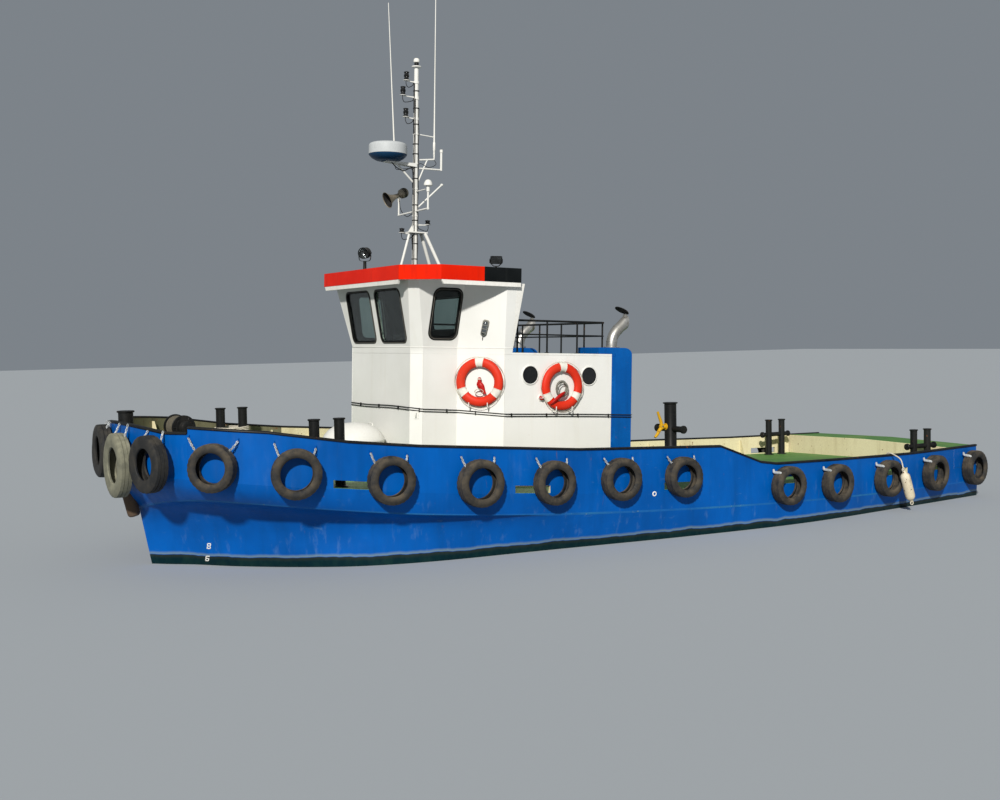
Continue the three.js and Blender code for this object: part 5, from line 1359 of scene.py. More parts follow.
# Lamps and receiver on the mast
LAMP_TIER = 68
LAMP_PARTS = ((0, [(0, 0), (42, 0), (44, 4), (44, 14), (34, 18)]),
              (1, [(34, 18), (36, 22), (36, 46), (34, 50)]),
              (0, [(34, 50), (44, 52), (44, 60), (36, 66), (0, LAMP_TIER)]))
mast_lamps = Build()
for z, reach, tiers in MAST_LAMPS:
    x = MAST_X + reach
    for tier in range(tiers):
        for mark, profile in LAMP_PARTS:
            mast_lamps.lathe(profile, (x, 0, z + 8 + tier * LAMP_TIER), mark=mark)
    crown = z + 6 + tiers * LAMP_TIER
    mast_lamps.tube([(x, 0, crown), (x, 0, crown + 10)], [8, 3], 10)
top = (MAST_X, 0, MAST_TOP + 2)
mast_lamps.lathe([(0, 0), (34, 0), (36, 6), (36, 52), (30, 60), (0, 60)], top)
mast_lamps.lathe([(0, 58), (30, 58), (46, 64), (50, 76), (49, 96), (42, 116), (26, 128), (0, 132)], top,
                 segments=28, mark=2)
mast_lamps.make("mast_lamps", [BLACK, LAMP_GLASS, TRIM_WHITE], "black_paint", leaning=True, smooth=40)

# Cables on the mast: path, steps and radius of each, and direction, top and foot of those on the pole
MAST_CABLES = (
    ([(RADAR_X - 60, 20, RADAR_Z - 12), (RADAR_X - 140, 30, RADAR_Z - 90), (3300, 20, RADAR_Z - 130),
      (3150, 8, RADAR_Z - 70), (MAST_X + 50, 10, RADAR_Z - 160), (MAST_X + 48, 14, 5500)], 36, 8),
    ([(FORE_WHIP_X, FORE_WHIP_Y, 6010), (3270, -300, 5930), (3180, -160, 5930), (MAST_X + 30, -48, 5900),
      (MAST_X + 12, -50, 5600)], 30, 5),
    ([(WHIP_X, 0, 6100), (WHIP_X - 30, 10, 6020), (2840, 12, 5960), (MAST_X - 60, 10, 6000),
      (MAST_X - 50, 8, 5700)], 30, 5),
    ([(MAST_X, ARM_STBD + 6, 5500), (MAST_X - 10, ARM_STBD + 60, 5300), (MAST_X, -300, 5170),
      (MAST_X, -60, 5190), (MAST_X + 10, -48, 5000)], 30, 6),
)
POLE_CABLES = ((0.5, 7300, 4300), (0.9, 7050, 4300), (2.4, 6900, 4300), (-1.0, 5980, 4700))
cables = Build()
for z, reach, _ in MAST_LAMPS:
    x = MAST_X + reach
    away = copysign(1, reach)
    pole = MAST_X + away * 47
    path = [(x + away * 8, 0, z - 2), (x + away * 6, 4, z - 60), (x - away * 30, 6, z - 105),
            (pole + away * 26, 4, z - 70), (pole + away * 4, 6, z - 20), (pole, 10, z - 120),
            (pole, 8, z - 260)]
    cables.tube(smooth_path(path, 36), 6, 8)
for turn, high, low in POLE_CABLES:
    out = vec(cos(turn) * 48, sin(turn) * 48, 0)
    path = [vec(MAST_X, 0, high + (low - high) * i / 21) + out * (1 + 0.10 * sin(i * 1.7 + turn))
            for i in range(22)]
    cables.tube(smooth_path(path, 66), 6.5, 7)
for z in (4450, 4700, 5080, 5330, 5760, 6160, 6320, 6640, 6900, 7180):
    cables.tube([(MAST_X, 0, z - 6), (MAST_X, 0, z + 6)], 51, 18)
for path, steps, radius in MAST_CABLES:
    cables.tube(smooth_path(path, steps), radius, 8)
cables.make("mast_cables", [CABLE], "black_paint", leaning=True, smooth=50)

# Whip aerials, thick below their sockets
whip = Build()
levels = [0, 60, 70, 190, 210, 6800 - WHIP_FOOT, WHIP_TIP - WHIP_FOOT]
whip.tube([(WHIP_X, 0, WHIP_FOOT + z) for z in levels], [15, 15, 21, 21, 13, 11, 6.5], 14)
whip.make("aerial_aft", [TRIM_WHITE], "white_plastic", replaces=["whip_aft"], leaning=True, smooth=40)
whip = Build()
low, high = vec(FORE_WHIP_X, FORE_WHIP_Y, 6091), vec(3400, -400, 8650)
shares = [(0, 16), (0.03, 17), (0.035, 26), (0.065, 26), (0.09, 13), (0.35, 10), (1, 5.5)]
whip.tube([low.lerp(high, share) for share, _ in shares], [radius for _, radius in shares], 14)
whip.lathe([(0, 0), (34, 0), (36, 5), (34, 10), (16, 10)], low, segments=20)
whip.make("aerial_fore", [TRIM_WHITE], "white_plastic", replaces=["whip_fore"], leaning=True, smooth=40)

# Radar scanner: white cover on a dark base
radar = Build()
base = (RADAR_X, 0, RADAR_Z + 1)
radar.lathe([(0, 0), (150, 2), (196, 10), (262, 46), (302, 88), (307, 98), (307, 106)], base, segments=64,
            mark=0)
radar.lathe([(307, 106), (312, 108), (312, 118), (310, 160), (309, 236), (304, 258), (292, 274), (262, 288),
             (180, 297), (0, 301)], base, segments=64, mark=1)
for turn in angles(4, 0.5):
    spot = (RADAR_X + 120 * cos(turn), 44 * copysign(1, sin(turn)), RADAR_Z - 12)
    radar.lathe([(0, 0), (11, 0), (11, 14), (0, 14)], spot, segments=6)
radar.make("radar_scanner", [RADAR_DARK, RADAR_WHITE], "white_plastic", replaces=["radar_dome"], leaning=True,
           smooth=34)

# Horn: bell, throat and driver
HORN_OUTER_FACES = 7
horn = Build()
driver, neck, mouth = vec(2925, ARM_STBD, 5624), vec(3085, ARM_STBD, 5549), vec(3290, ARM_STBD, 5451)
axis = (mouth - driver).normalized()
length = (mouth - neck).length
horn.lathe([(30, -10), (34, 20), (46, length * 0.4), (72, length * 0.68), (106, length * 0.88),
            (134, length - 6), (140, length), (136, length + 2), (128, length - 8), (98, length * 0.86),
            (64, length * 0.64), (36, length * 0.36), (20, 40), (0, 38)],
           neck, axis, 40, lambda i, j: int(j > HORN_OUTER_FACES))
back = (neck - driver).length
horn.lathe([(0, -6), (44, -4), (64, 10), (78, 32), (80, back - 58), (72, back - 38), (46, back - 18),
           (34, back)], driver, axis, 32)
for step in (44, 62, 80):
    horn.lathe([(78, step), (84, step + 3), (84, step + 8), (78, step + 11)], driver, axis, 32, 1)
horn.plate("y", ARM_STBD - 5, ARM_STBD + 5,
           [(MAST_X - 18, 5438), (MAST_X + 18, 5438), (MAST_X + 22, 5548), (MAST_X - 22, 5566)], 2)
horn.make("horn_body", [HORN, SOOT_AND_SHADE, TRIM_WHITE], "horn_chrome", replaces=["horn"], leaning=True, smooth=40)

# Searchlight in its yoke, turned to port and a little down
SEARCH_AT, SEARCH_TURN, YOKE_FOOT = vec(3790, -380, 4536), 0.75, 4410
search = Build()
beam = vec(cos(SEARCH_TURN), sin(SEARCH_TURN), -0.12).normalized()
beside = vec(-sin(SEARCH_TURN), cos(SEARCH_TURN), 0)
search.lathe([(0, 0), (60, 0), (60, 10), (34, 16), (28, 40), (26, 150), (30, 168), (0, 170)],
             (SEARCH_AT.x, SEARCH_AT.y, ROOF_Z + 2), segments=28)
under = YOKE_FOOT - SEARCH_AT.z
yoke = [(-104, 0), (-106, -70), (-84, under), (0, under - 12), (84, under), (106, -70), (104, 0)]
arms = smooth_path([SEARCH_AT + beside * u + UP * v for u, v in yoke], 36)
forward = beside.cross(UP)
search.skin([[p + forward * a + (SEARCH_AT - p).normalized() * b
              for a, b in ((-14, 0), (14, 0), (14, 6), (-14, 6))]
             for p in arms])
search.lathe([(0, -112), (34, -108), (62, -92), (78, -66), (84, -30), (86, 50), (90, 54), (93, 60), (93, 78),
              (88, 80), (82, 74)], SEARCH_AT, beam, 40)
search.lathe([(82, 74), (74, 40), (52, 8), (20, -6), (0, -8)], SEARCH_AT, beam, 40, 1)
search.lathe([(0, 30), (16, 28), (18, 20), (18, -6)], SEARCH_AT, beam, 20)
for z in range(-60, 30, 18):
    search.lathe([(80, z), (89, z + 2), (89, z + 6), (80, z + 8)], SEARCH_AT, beam, 40)
for side in (-1, 1):
    search.lathe([(0, 0), (16, 0), (18, 4), (14, 22), (0, 24)], SEARCH_AT + beside * (side * 92),
                 beside * side, 16)
search.make("searchlight_body", [BLACK, LENS], "black_paint", "searchlight", ["searchlight"], leaning=True,
            smooth=40)

# Floodlight on its bracket
FLOOD_AT = vec(2526, 1700, 4370)
flood = Build()
face = vec(0.40, 0.80, -0.42).normalized()
wide = vec(face.y, -face.x, 0).normalized()
tall = wide.cross(face)
for size, low, high in ((1.0, 20, 34), (0.86, -10, 21), (0.6, -34, -8)):
    flood.slab(FLOOD_AT + face * low, wide, tall, face * (high - low),
               rounded(-92 * size, -62 * size, 92 * size, 62 * size, 10))
flood.slab(FLOOD_AT + face * 34, wide, tall, face * 2, rounded(-80, -50, 80, 50, 6), 1)
for u in range(-66, 74, 20):
    flood.slab(FLOOD_AT - face * 50, wide, tall, face * 42, [(u, -40), (u + 4, -40), (u + 4, 40), (u, 40)])
for side in (-1, 1):
    flood.slab(FLOOD_AT + wide * (side * 94), tall, face, wide * (side * 6),
               [(-12, -10), (12, -10), (12, 10), (-12, 10)])
    pivot, foot = FLOOD_AT + wide * (side * 97), vec(FLOOD_AT.x, FLOOD_AT.y, ROOF_Z + 30)
    flood.tube([pivot, pivot - tall * 30 - UP * 20, foot + UP * 4 + wide * (side * 40), foot], 8, 8)
flood.lathe([(0, 0), (44, 0), (46, 5), (44, 10), (14, 12), (12, 36), (0, 36)],
            (FLOOD_AT.x, FLOOD_AT.y, ROOF_Z + 1))
flood.make("floodlight_body", [BLACK, LENS], "black_paint", replaces=["floodlight"], leaning=True, smooth=36)

# Exhaust pipes with their flaps raised
MOUTH_X, PIPE_Y, PIPE_FOOT_X, CASING_TOP = -150, 1460, 140, 3040
PIPE_RADIUS, PIPE_WALL, PIPE_STEPS = 91, 6, 40
# The pipe widens from WIDEN_STEP to its mouth, and has an inner skin from INNER_STEP on
WIDEN_STEP, INNER_STEP, WIDEN = 28, 24, 0.19
NOTCH_HALF, NOTCH_DEPTH = 33, 22
FLAP_X, FLAP_Z, FLAP_RADIUS, FLAP_TILT = MOUTH_X - 10, 3612, 122, radians(28)
for name, side in SIDES:
    y = side * PIPE_Y
    route = smooth_path([(PIPE_FOOT_X, y, CASING_TOP - 4), (PIPE_FOOT_X, y, 3120), (118, y, 3220),
                         (50, y, 3320), (-50, y, 3405), (MOUTH_X, y, 3480)], PIPE_STEPS)
    pipe = Build()
    rows, inner = [], []
    for i, point in enumerate(route):
        along = (route[min(i + 1, PIPE_STEPS)] - route[max(i - 1, 0)]).normalized()
        level = PORT.cross(-FORE if i == PIPE_STEPS else along)
        stretch = 1 + WIDEN * (max(0, i - WIDEN_STEP) / (PIPE_STEPS - WIDEN_STEP)) ** 2
        for skin, radius in ((rows, PIPE_RADIUS), (inner, PIPE_RADIUS - PIPE_WALL)):
            ring = circle(point, level * (radius * stretch), PORT * radius, 32)
            for spot in ring:
                spot.x = max(spot.x, MOUTH_X)
            skin.append(ring)
    pipe.grid(rows, 0, wrap=True)
    pipe.grid([rows[-1], inner[-1]], 0, wrap=True)
    pipe.grid(inner[INNER_STEP:], 1, wrap=True)
    pipe.fan(inner[INNER_STEP], 1)
    pipe.lathe([(85, 0), (128, 0), (130, 4), (130, 12), (126, 16), (86, 16)],
               (PIPE_FOOT_X, y, CASING_TOP + 1), segments=40)
    pipe.bolts((PIPE_FOOT_X, y, CASING_TOP + 17), FORE * 112, PORT * 112, UP, 8, [(0, 12), (9, 12), (10, 0)])
    for at in (10, 26):
        pipe.tube([route[at - 1], route[at + 1]], PIPE_RADIUS + 4, 32)
    for start in (y - 30, y + 12):
        pipe.tube([(FLAP_X, start, FLAP_Z), (FLAP_X, start + 18, FLAP_Z)], 14, 16)
    lug = ((9, -8), (9, 10), (60, -14), (66, -72), (16, -40))
    pipe.plate("y", y - 24, y + 24, [(FLAP_X + u, FLAP_Z + v) for u, v in lug])
    pipe.make(f"exhaust_pipe_{name}", [EXHAUST, SOOT_AND_SHADE], "exhaust_steel", replaces=[f"exhaust_{name}"],
              leaning=True, smooth=40)
    flap = Build()
    reach = vec(cos(FLAP_TILT), 0, sin(FLAP_TILT))
    normal = vec(-sin(FLAP_TILT), 0, cos(FLAP_TILT))
    hinge = vec(FLAP_X, y, FLAP_Z)
    middle = FLAP_RADIUS - 6
    span = pi - asin(NOTCH_HALF / FLAP_RADIUS)
    outline = [(NOTCH_DEPTH, NOTCH_HALF), (NOTCH_DEPTH, -NOTCH_HALF)]
    for turn in [span * (k / 22 - 1) for k in range(45)]:
        outline.append((middle + FLAP_RADIUS * cos(turn), FLAP_RADIUS * sin(turn)))
    flap.slab(hinge + normal * 4, reach, PORT, normal * -9, outline)
    flap.lathe([(88, -3), (84, -7), (40, -9), (0, -10)], hinge + reach * middle, normal, 40)
    for shift in (-42, 34):
        flap.slab(hinge + PORT * shift, reach, normal, PORT * 8,
                  [(-2, 3), (20, 3), (60, -2), (60, -11), (10, -13), (-8, -9)])
    flap.tube([hinge - PORT * 52, hinge + PORT * 52], 7, 14)
    flap.make(f"exhaust_cover_{name}", [SOOT_AND_SHADE], "exhaust_steel", f"exhaust_flap_{name}",
              [f"exhaust_flap_{name}"], leaning=True, smooth=40)

# Rail round the deckhouse roof, on posts with foot plates
RAIL_Y, RAIL_BACK, RAIL_FRONT, RAIL_CORNER = 1500, 310, 2190, 70
RAIL_TOP, RAIL_MIDDLE, RAIL_RADIUS, ROOF_LEVEL = 3450, 3230, 15, 2935
POSTS = [(x, y) for y in (RAIL_Y, -RAIL_Y) for x in (860, 1440, 2000)]
POSTS += [(RAIL_BACK, y) for y in (900, 200, -500, -1080)]


def rail_bend(z):
    path = [(RAIL_FRONT, RAIL_Y)]
    for turn in angles(24, 0, 7):
        path.append((RAIL_BACK + RAIL_CORNER * (1 - sin(turn)), RAIL_Y - RAIL_CORNER * (1 - cos(turn))))
    return [(x, y, z) for x, y in path + [(x, -y) for x, y in reversed(path)]]


rail = Build()
rail.tube(rail_bend(RAIL_TOP), RAIL_RADIUS + 2, 14)
rail.tube(rail_bend(RAIL_MIDDLE), RAIL_RADIUS - 3, 12)
for x, y in POSTS:
    rail.tube([(x, y, ROOF_LEVEL + 1), (x, y, RAIL_TOP)], RAIL_RADIUS, 12)
    rail.lathe([(0, 0), (40, 0), (42, 4), (40, 9), (18, 12)], (x, y, ROOF_LEVEL + 1), segments=20)
for side in (1, -1):
    y = side * (RAIL_Y - RAIL_CORNER)
    rail.tube([(RAIL_BACK, y, CASING_TOP), (RAIL_BACK, y, RAIL_TOP)], RAIL_RADIUS, 12)
    for z in (RAIL_TOP, RAIL_MIDDLE):
        rail.tube([(RAIL_FRONT - 8, side * RAIL_Y, z), (RAIL_FRONT + 34, side * RAIL_Y, z)], 24, 14)
rail.make("rail_tubes", [BLACK], "black_paint", replaces=["roof_rail"], leaning=True, smooth=40)

# Bitts: x of both posts, y, top and radius, then the bar's height, reach, radius and the width of its caps
BITTS = (("fore", 5590, 5205, 2020, 2150, 75, 1600, 150, 35, 7),
         ("aft", -6560, -6930, 1990, 1370, 65, 1050, 200, 45, 15))


def deck_height(x, y):
    edge = line_point("deck", deck_u(x))
    return edge.z + CAMBER * (1 - min(abs(y) / edge.y, 1))


for where, x0, x1, y, top, radius, bar_z, reach, bar_radius, cap in BITTS:
    for name, side in SIDES:
        bitts = Build()
        for x in (x0, x1):
            foot = deck_height(x, y) - 3
            bitts.lathe([(0, top), (radius + 9, top), (radius + 15, top - 5), (radius + 15, top - 17),
                         (radius + 9, top - 22), (radius + 1, top - 26), (radius, top - 40),
                         (radius, foot + 26),
                         (radius + 8, foot + 16), (radius + 34, foot + 14), (radius + 36, foot)],
                        (x, side * y, 0), segments=40)
        ends = ((x0 + reach, 1), (x1 - reach, -1))
        bitts.tube([(tip, side * y, bar_z) for tip, _ in ends], bar_radius, 20)
        size = bar_radius + cap
        for tip, way in ends:
            bitts.lathe([(bar_radius, -46), (size, -42), (size + 2, -36), (size + 2, -8), (size - 4, 0),
                         (0, 2)], (tip, side * y, bar_z), FORE * way, 28)
        bitts.make(f"bitts_posts_{where}_{name}", [BLACK], "black_paint", replaces=[f"bitts_{where}_{name}"],
                   smooth=36)

# White line made fast round the starboard fore bitts
LINE_AT, LINE_LONG, LINE_WIDE = (5397, -2020, 1700), 291, 98
LINE_TURNS, POINTS_A_TURN, LINE_RISE = 5, 30, 0.84
line = Build()
path = []
for i, t in enumerate(angles(POINTS_A_TURN, 0, LINE_TURNS * POINTS_A_TURN)):
    x, y, z = LINE_AT
    path.append((x + LINE_LONG * cos(t), y + LINE_WIDE * sin(t) * (1 - 0.12 * cos(2 * t)),
                 z + LINE_RISE * i + 7 * sin(3 * t)))
line.tube(smooth_path(path, 300), 13, 8)
line.make("bitts_line", [ROPE], "white_plastic", smooth=60)

# Bow bollard
BOLLARD_X, BOLLARD_Y = 7640, -200
bollard = Build()
foot = deck_height(BOLLARD_X, BOLLARD_Y) - 3
bollard.lathe([(0, 2270), (120, 2270), (128, 2264), (128, 2250), (120, 2244), (109, 2240), (108, 2200),
               (108, foot + 30), (120, foot + 18), (150, foot + 14), (152, foot)], (BOLLARD_X, BOLLARD_Y, 0),
              segments=48)
bollard.bolts((BOLLARD_X, BOLLARD_Y, foot + 15), FORE * 134, PORT * 134, UP, 8, [(0, 10), (9, 9), (10, 0)])
bollard.make("bow_bollard_post", [BLACK], "black_paint", replaces=["bow_bollard"], smooth=36)

# Anchor windlass
WINDLASS_X, WINDLASS_Z = 6900, 2005
CHEEK = [(6650, 1300), (7150, 1300), (7010, 2085), (6985, 2115), (6945, 2125), (6855, 2125), (6815, 2115),
         (6790, 2085)]
SILL_X0, SILL_X1 = 6600, 7200
axle = vec(WINDLASS_X, 0, WINDLASS_Z)
windlass = Build()
for y, bolts_at, way in ((-260, -12, -1), (230, 40, 1)):
    windlass.plate("y", y, y + 30, CHEEK)
    windlass.lathe([(34, -12), (70, -10), (74, -4), (74, 34), (70, 40), (34, 42)], axle + PORT * y, PORT, 32)
    windlass.bolts(axle + PORT * (y + bolts_at), FORE * 58, UP * 58, PORT * way, 6, [(0, 9), (8, 8), (9, 0)],
                   shift=0)
windlass.block((SILL_X0, -300, 1340), (SILL_X1, 300, 1440))
for y in (-300, 262):
    windlass.plate("y", y, y + 38, [(SILL_X0, 1440), (SILL_X1, 1440), (SILL_X1, 1500), (SILL_X0, 1500)])
for x in (6710, 7090):
    windlass.tube([(x, -240, 1620), (x, 240, 1620)], 22, 16)
windlass.make("windlass_stand", [BLACK], "black_paint", replaces=["windlass_frame"], smooth=34, bevel=3)
drum = Build()
drum.tube([axle - PORT * 420, axle + PORT * 420], 30, 24)
drum.lathe([(30, -200), (110, -198), (112, -190), (112, 190), (110, 198), (30, 200)], axle, PORT, 48)
for side in (1, -1):
    drum.lathe([(30, 196), (176, 196), (180, 200), (180, 214), (174, 219), (60, 222), (30, 222)], axle,
               PORT * side, 48)
    drum.lathe([(30, 288), (96, 290), (100, 298), (92, 312), (70, 340), (66, 370), (74, 400), (92, 412),
                (96, 420), (88, 424), (40, 426), (0, 426)], axle, PORT * side, 40)
    for turn in angles(6):
        spoke = vec(cos(turn), 0, sin(turn))
        drum.tube([axle + PORT * (side * 219) + spoke * reach for reach in (62, 160)], 9, 8)
drum.make("windlass_barrel", [BLACK], "black_paint", "windlass_drum", ["windlass_drum"], smooth=36)
wound = Build()
for count, radius in ((13, 125), (12, 147)):
    for k in range(count):
        y = (k - (count - 1) / 2) * 28.5
        wound.tube([axle + vec(radius * cos(t), y + 3 * sin(t + k), radius * sin(t)) for t in angles(40)],
                   14, 8, closed=True)
wound.make("windlass_rope", [ROPE_DARK], "white_plastic", "windlass_drum", smooth=60)

# Tow post with its bar, and the hook
TOW_X, TOW_TOP, TOW_R, TOW_BAR_Z = -2330, 1990, 112, 1500
tow = Build()
foot = deck_height(TOW_X, 0) - 3
tow.lathe([(0, TOW_TOP), (TOW_R + 19, TOW_TOP), (TOW_R + 25, TOW_TOP - 5), (TOW_R + 25, TOW_TOP - 18),
           (TOW_R + 18, TOW_TOP - 24), (TOW_R, TOW_TOP - 28), (TOW_R, foot + 34), (TOW_R + 10, foot + 20),
           (TOW_R + 56, foot + 16), (TOW_R + 58, foot)], (TOW_X, 0, 0), segments=48)
tow.tube([(TOW_X, -402, TOW_BAR_Z), (TOW_X, 402, TOW_BAR_Z)], 56, 28)
for side in (1, -1):
    tow.lathe([(56, 350), (70, 354), (74, 364), (74, 396), (66, 408), (0, 410)], (TOW_X, 0, TOW_BAR_Z),
              PORT * side, 36)
for turn in angles(4, 0.5):
    out, along = vec(cos(turn), sin(turn), 0), vec(-sin(turn), cos(turn), 0)
    tow.slab(FORE * TOW_X + along * 6, out, UP, along * -12,
             [(TOW_R - 4, foot + 10), (TOW_R + 50, foot + 10), (TOW_R - 4, foot + 190)])
tow.make("tow_post_body", [BLACK], "black_paint", replaces=["tow_post"], smooth=36)
HOOK_X, HOOK_Z, HOOK_STEPS = -2128, 1552, 24
hook = Build()
root = TOW_X + TOW_R
lower = [(root - 6, 0, 1540), (-2150, 0, 1540), (-2080, 0, 1490), (-2020, 0, 1410), (-1968, 0, 1356)]
upper = [(-2120, 0, 1560), (-2108, 0, 1640), (-2072, 0, 1730), (-2036, 0, 1825)]
shares = [i / HOOK_STEPS for i in range(HOOK_STEPS + 1)]
hook.tube(smooth_path(lower, HOOK_STEPS), [40 - 17 * share ** 1.5 for share in shares], 20)
hook.tube(smooth_path(upper, HOOK_STEPS), [34 - 12 * share for share in shares], 20)
hook.lathe([(0, -33), (42, -33), (46, -28), (46, 28), (42, 33), (0, 33)], (HOOK_X, 0, HOOK_Z), PORT, 28)
hook.lathe([(0, -44), (15, -44), (17, -40), (17, 40), (15, 44), (0, 44)], (HOOK_X, 0, HOOK_Z), PORT, 20, 1)
hook.lathe([(60, 0), (60, 12), (40, 14), (38, 0)], (root - 2, 0, 1545), FORE, 28)
hook.make("tow_hook_body", [YELLOW, GALVANISED], "yellow_paint", replaces=["tow_hook"], smooth=40)

# White cylinder fender, stained, its line over the rail
FENDER_X, FENDER_LEAN, FENDER_TOP, FENDER_FOOT, FENDER_R = -5275, 200, 750, 175, 88
side_y = line_point("deck", deck_u(FENDER_X)).y
fender_y = side_y + TYRE_OFF + TYRE_WIDTH + FENDER_R + 6
rail_z = interpolate(BULWARK_TOP, FENDER_X) + 20
head, foot = vec(FENDER_X, fender_y, FENDER_TOP), vec(FENDER_X - FENDER_LEAN, fender_y, FENDER_FOOT)
down = (foot - head).normalized()
length = (foot - head).length
fender = Build()
fender.lathe([(0, 0), (26, 2), (30, 12), (32, 34), (48, 52), (70, 72), (84, 98), (88, 130),
              (87, length - 130),
              (82, length - 92), (66, length - 66), (44, length - 48), (32, length - 34), (30, length - 12),
              (24, length), (0, length + 2)], head, down, 40)
fender.make("fender_body", [FENDER_WHITE], "white_plastic", replaces=["quarter_fender"], smooth=50)
# The line from the fender on, as distances forward, out from the side and above the rail
OVER_RAIL = ((0, 60, 8), (0, 10, 18), (0, -60, 14), (0, -92, -40), (10, -84, -130))
line = Build()
bend = [head + down * 20, head - down * 30, vec(FENDER_X, side_y + TYRE_WIDTH + 30, 945)]
bend += [vec(FENDER_X + u, side_y + v, rail_z + w) for u, v, w in OVER_RAIL]
line.tube(smooth_path(bend, 60), 12, 10)
for end, way in ((head, 1), (foot, -1)):
    line.tube(circle(end - down * (16 * way), FORE * 34, UP * 34, 24), 10, 8, closed=True)
line.tube([vec(FENDER_X, side_y - 88, rail_z - drop) for drop in (60, 90)], 30, 12)
line.make("fender_line", [ROPE], "white_plastic", smooth=60)

# Propellers with twisted blades
BLADES, BLADE_STEPS, BLADE_SIDES, PITCH = 4, 12, 16, 560


def blade_chord(share):
    """Width of a blade from its root to its tip."""
    oval = sqrt(max(1 - (share * 1.02 - 0.42) ** 2 / 0.36, 0.02))
    return 235 * oval * (0.62 + 0.38 * sin(pi * min(share * 1.3, 1)))


for name, side in SIDES:
    propeller = Build()
    place = Matrix.Translation(vec(SHAFT_X, side * SHAFT_Y, SHAFT_Z)) @ Matrix.Rotation(-SHAFT_SLOPE, 4, "Y")
    axis = (place.to_3x3() @ FORE).normalized()
    shaft_end = (SHAFT_X + 4700) / -cos(SHAFT_SLOPE)
    propeller.lathe([(0, -186), (18, -184), (38, -170), (54, -140), (70, -90), (84, -30), (89, 40), (86, 96),
                     (70, 108), (36, 112), (35, shaft_end - 2), (0, shaft_end - 2)], place @ vec(0, 0, 0),
                    axis, 40)
    for spin in angles(BLADES):
        rows = []
        for share in [step / BLADE_STEPS for step in range(BLADE_STEPS + 1)]:
            r = 50 + 350 * share
            chord = blade_chord(share)
            pitch = atan2(PITCH / (2 * pi), r) * side
            thick = 20 * (1 - 0.8 * share)
            skew = 0.28 * share ** 2 * side
            row = []
            for t in angles(BLADE_SIDES):
                along, across = chord / 2 * cos(t), thick / 2 * sin(t)
                fore = along * sin(pitch) + across * cos(pitch)
                round_turn = (along * cos(pitch) - across * sin(pitch)) / r
                angle = spin + skew + max(min(round_turn, 0.9), -0.9)
                row.append(place @ vec(fore, r * sin(angle), r * cos(angle)))
            rows.append(row)
        propeller.skin(rows)
    propeller.make(f"propeller_blades_{name}", [BRONZE], "bronze", f"propeller_{name}", [f"propeller_{name}"],
                   smooth=50)

# Draft marks at the stem, and the cooling outlet
MARKS_X, DIGIT_SIZE, OUTLET_X, OUTLET_Z = 6760, 82, 200, 750
MARKS = (("8", 300), ("6", 105), ("4", -90))
DIGIT_BARS = {"8": "abcdefg", "6": "acdefg", "4": "bcfg"}
# Ends of each bar, in shares of half a digit's width and height
BAR_ENDS = {"a": (-1, 1, 1, 1), "g": (-1, 0, 1, 0), "d": (-1, -1, 1, -1), "f": (-1, 0, -1, 1),
            "b": (1, 0, 1, 1), "e": (-1, -1, -1, 0), "c": (1, -1, 1, 0)}
# Points of a hull ring from the deck to the waterline, and the length that u goes along in its steps
ABOVE_WATER = len(SPANS[0][2]) + len(SPANS[1][2])
STEP_LENGTH = 17000
marks = Build()


def hull_side(x, z, side):
    """A point of the hull's side at x and z, above the waterline."""
    u = deck_u(x)
    for _ in range(12):
        ring = hull_ring(u)
        point = ring[ABOVE_WATER]
        for a, b in zip(ring[:ABOVE_WATER], ring[1:]):
            if a.z >= z >= b.z:
                point = a.lerp(b, (a.z - z) / max(a.z - b.z, 1e-6))
                break
        u = min(max(u + (point.x - x) / STEP_LENGTH, 0.0), 1.0)
    return vec(point.x, side * point.y, z)


def add_digit(build, digit, centre, along, up, out, size):
    """A figure of raised bars."""
    half, tall, wide = size * 0.3, size * 0.5, size * 0.09
    for key in DIGIT_BARS[digit]:
        u0, v0, u1, v1 = BAR_ENDS[key]
        low, high = (u0 * half - wide, v0 * tall - wide), (u1 * half + wide, v1 * tall + wide)
        build.slab(centre - out * 2, along, up, out * 5, [low, (high[0], low[1]), high, (low[0], high[1])])


for _, side in SIDES:
    for digit, z in MARKS:
        spot = hull_side(MARKS_X, z, side)
        up = (hull_side(MARKS_X, z + 40, side) - hull_side(MARKS_X, z - 40, side)).normalized()
        along = (hull_side(MARKS_X - 60, z, side) - spot).normalized()
        out = along.cross(up) * side
        add_digit(marks, digit, spot, along, up, -out if out.y * side < 0 else out, DIGIT_SIZE)
    spot = hull_side(OUTLET_X, OUTLET_Z, side)
    marks.lathe([(24, -10), (24, 8), (36, 8), (40, 4), (40, -6)], spot, PORT * side, 28)
    # The dark disc in the outlet is painted shade, standing in for the open pipe
    marks.lathe([(0, -4), (25, -4)], spot, PORT * side, 28, 1)
marks.make("hull_marks", [TRIM_WHITE, SOOT_AND_SHADE], "white_paint", smooth=40)

# Door frame, and the fittings on the door
DOOR_RIM, DOOR_CLEAR = rounded(-400, 905, 400, 2832, 150), rounded(-374, 930, 374, 2806, 128)
DOOR_X, DOOR_PORT_Z = 262, 2330
frame = Build()
frame.grid([[(x, y, z) for y, z in outline] for x, outline in
            ((261, DOOR_CLEAR), (246, DOOR_CLEAR), (246, DOOR_RIM), (261, DOOR_RIM))], wrap=True)
frame.make("door_frame", [WHITE], "white_paint", leaning=True, smooth=40, bevel=2)
door = Build()
centre = (DOOR_X, 0, DOOR_PORT_Z)
door.lathe([(118, 0), (118, 9), (124, 13), (146, 13), (152, 8), (152, -2)], centre, -FORE, 48)
door.lathe([(0, 3), (70, 3), (119, 5)], centre, -FORE, 48, 1)
door.bolts((DOOR_X - 10, 0, DOOR_PORT_Z), PORT * 135, UP * 135, -FORE, 8, [(0, 7), (5, 6), (6, 0)], 2)
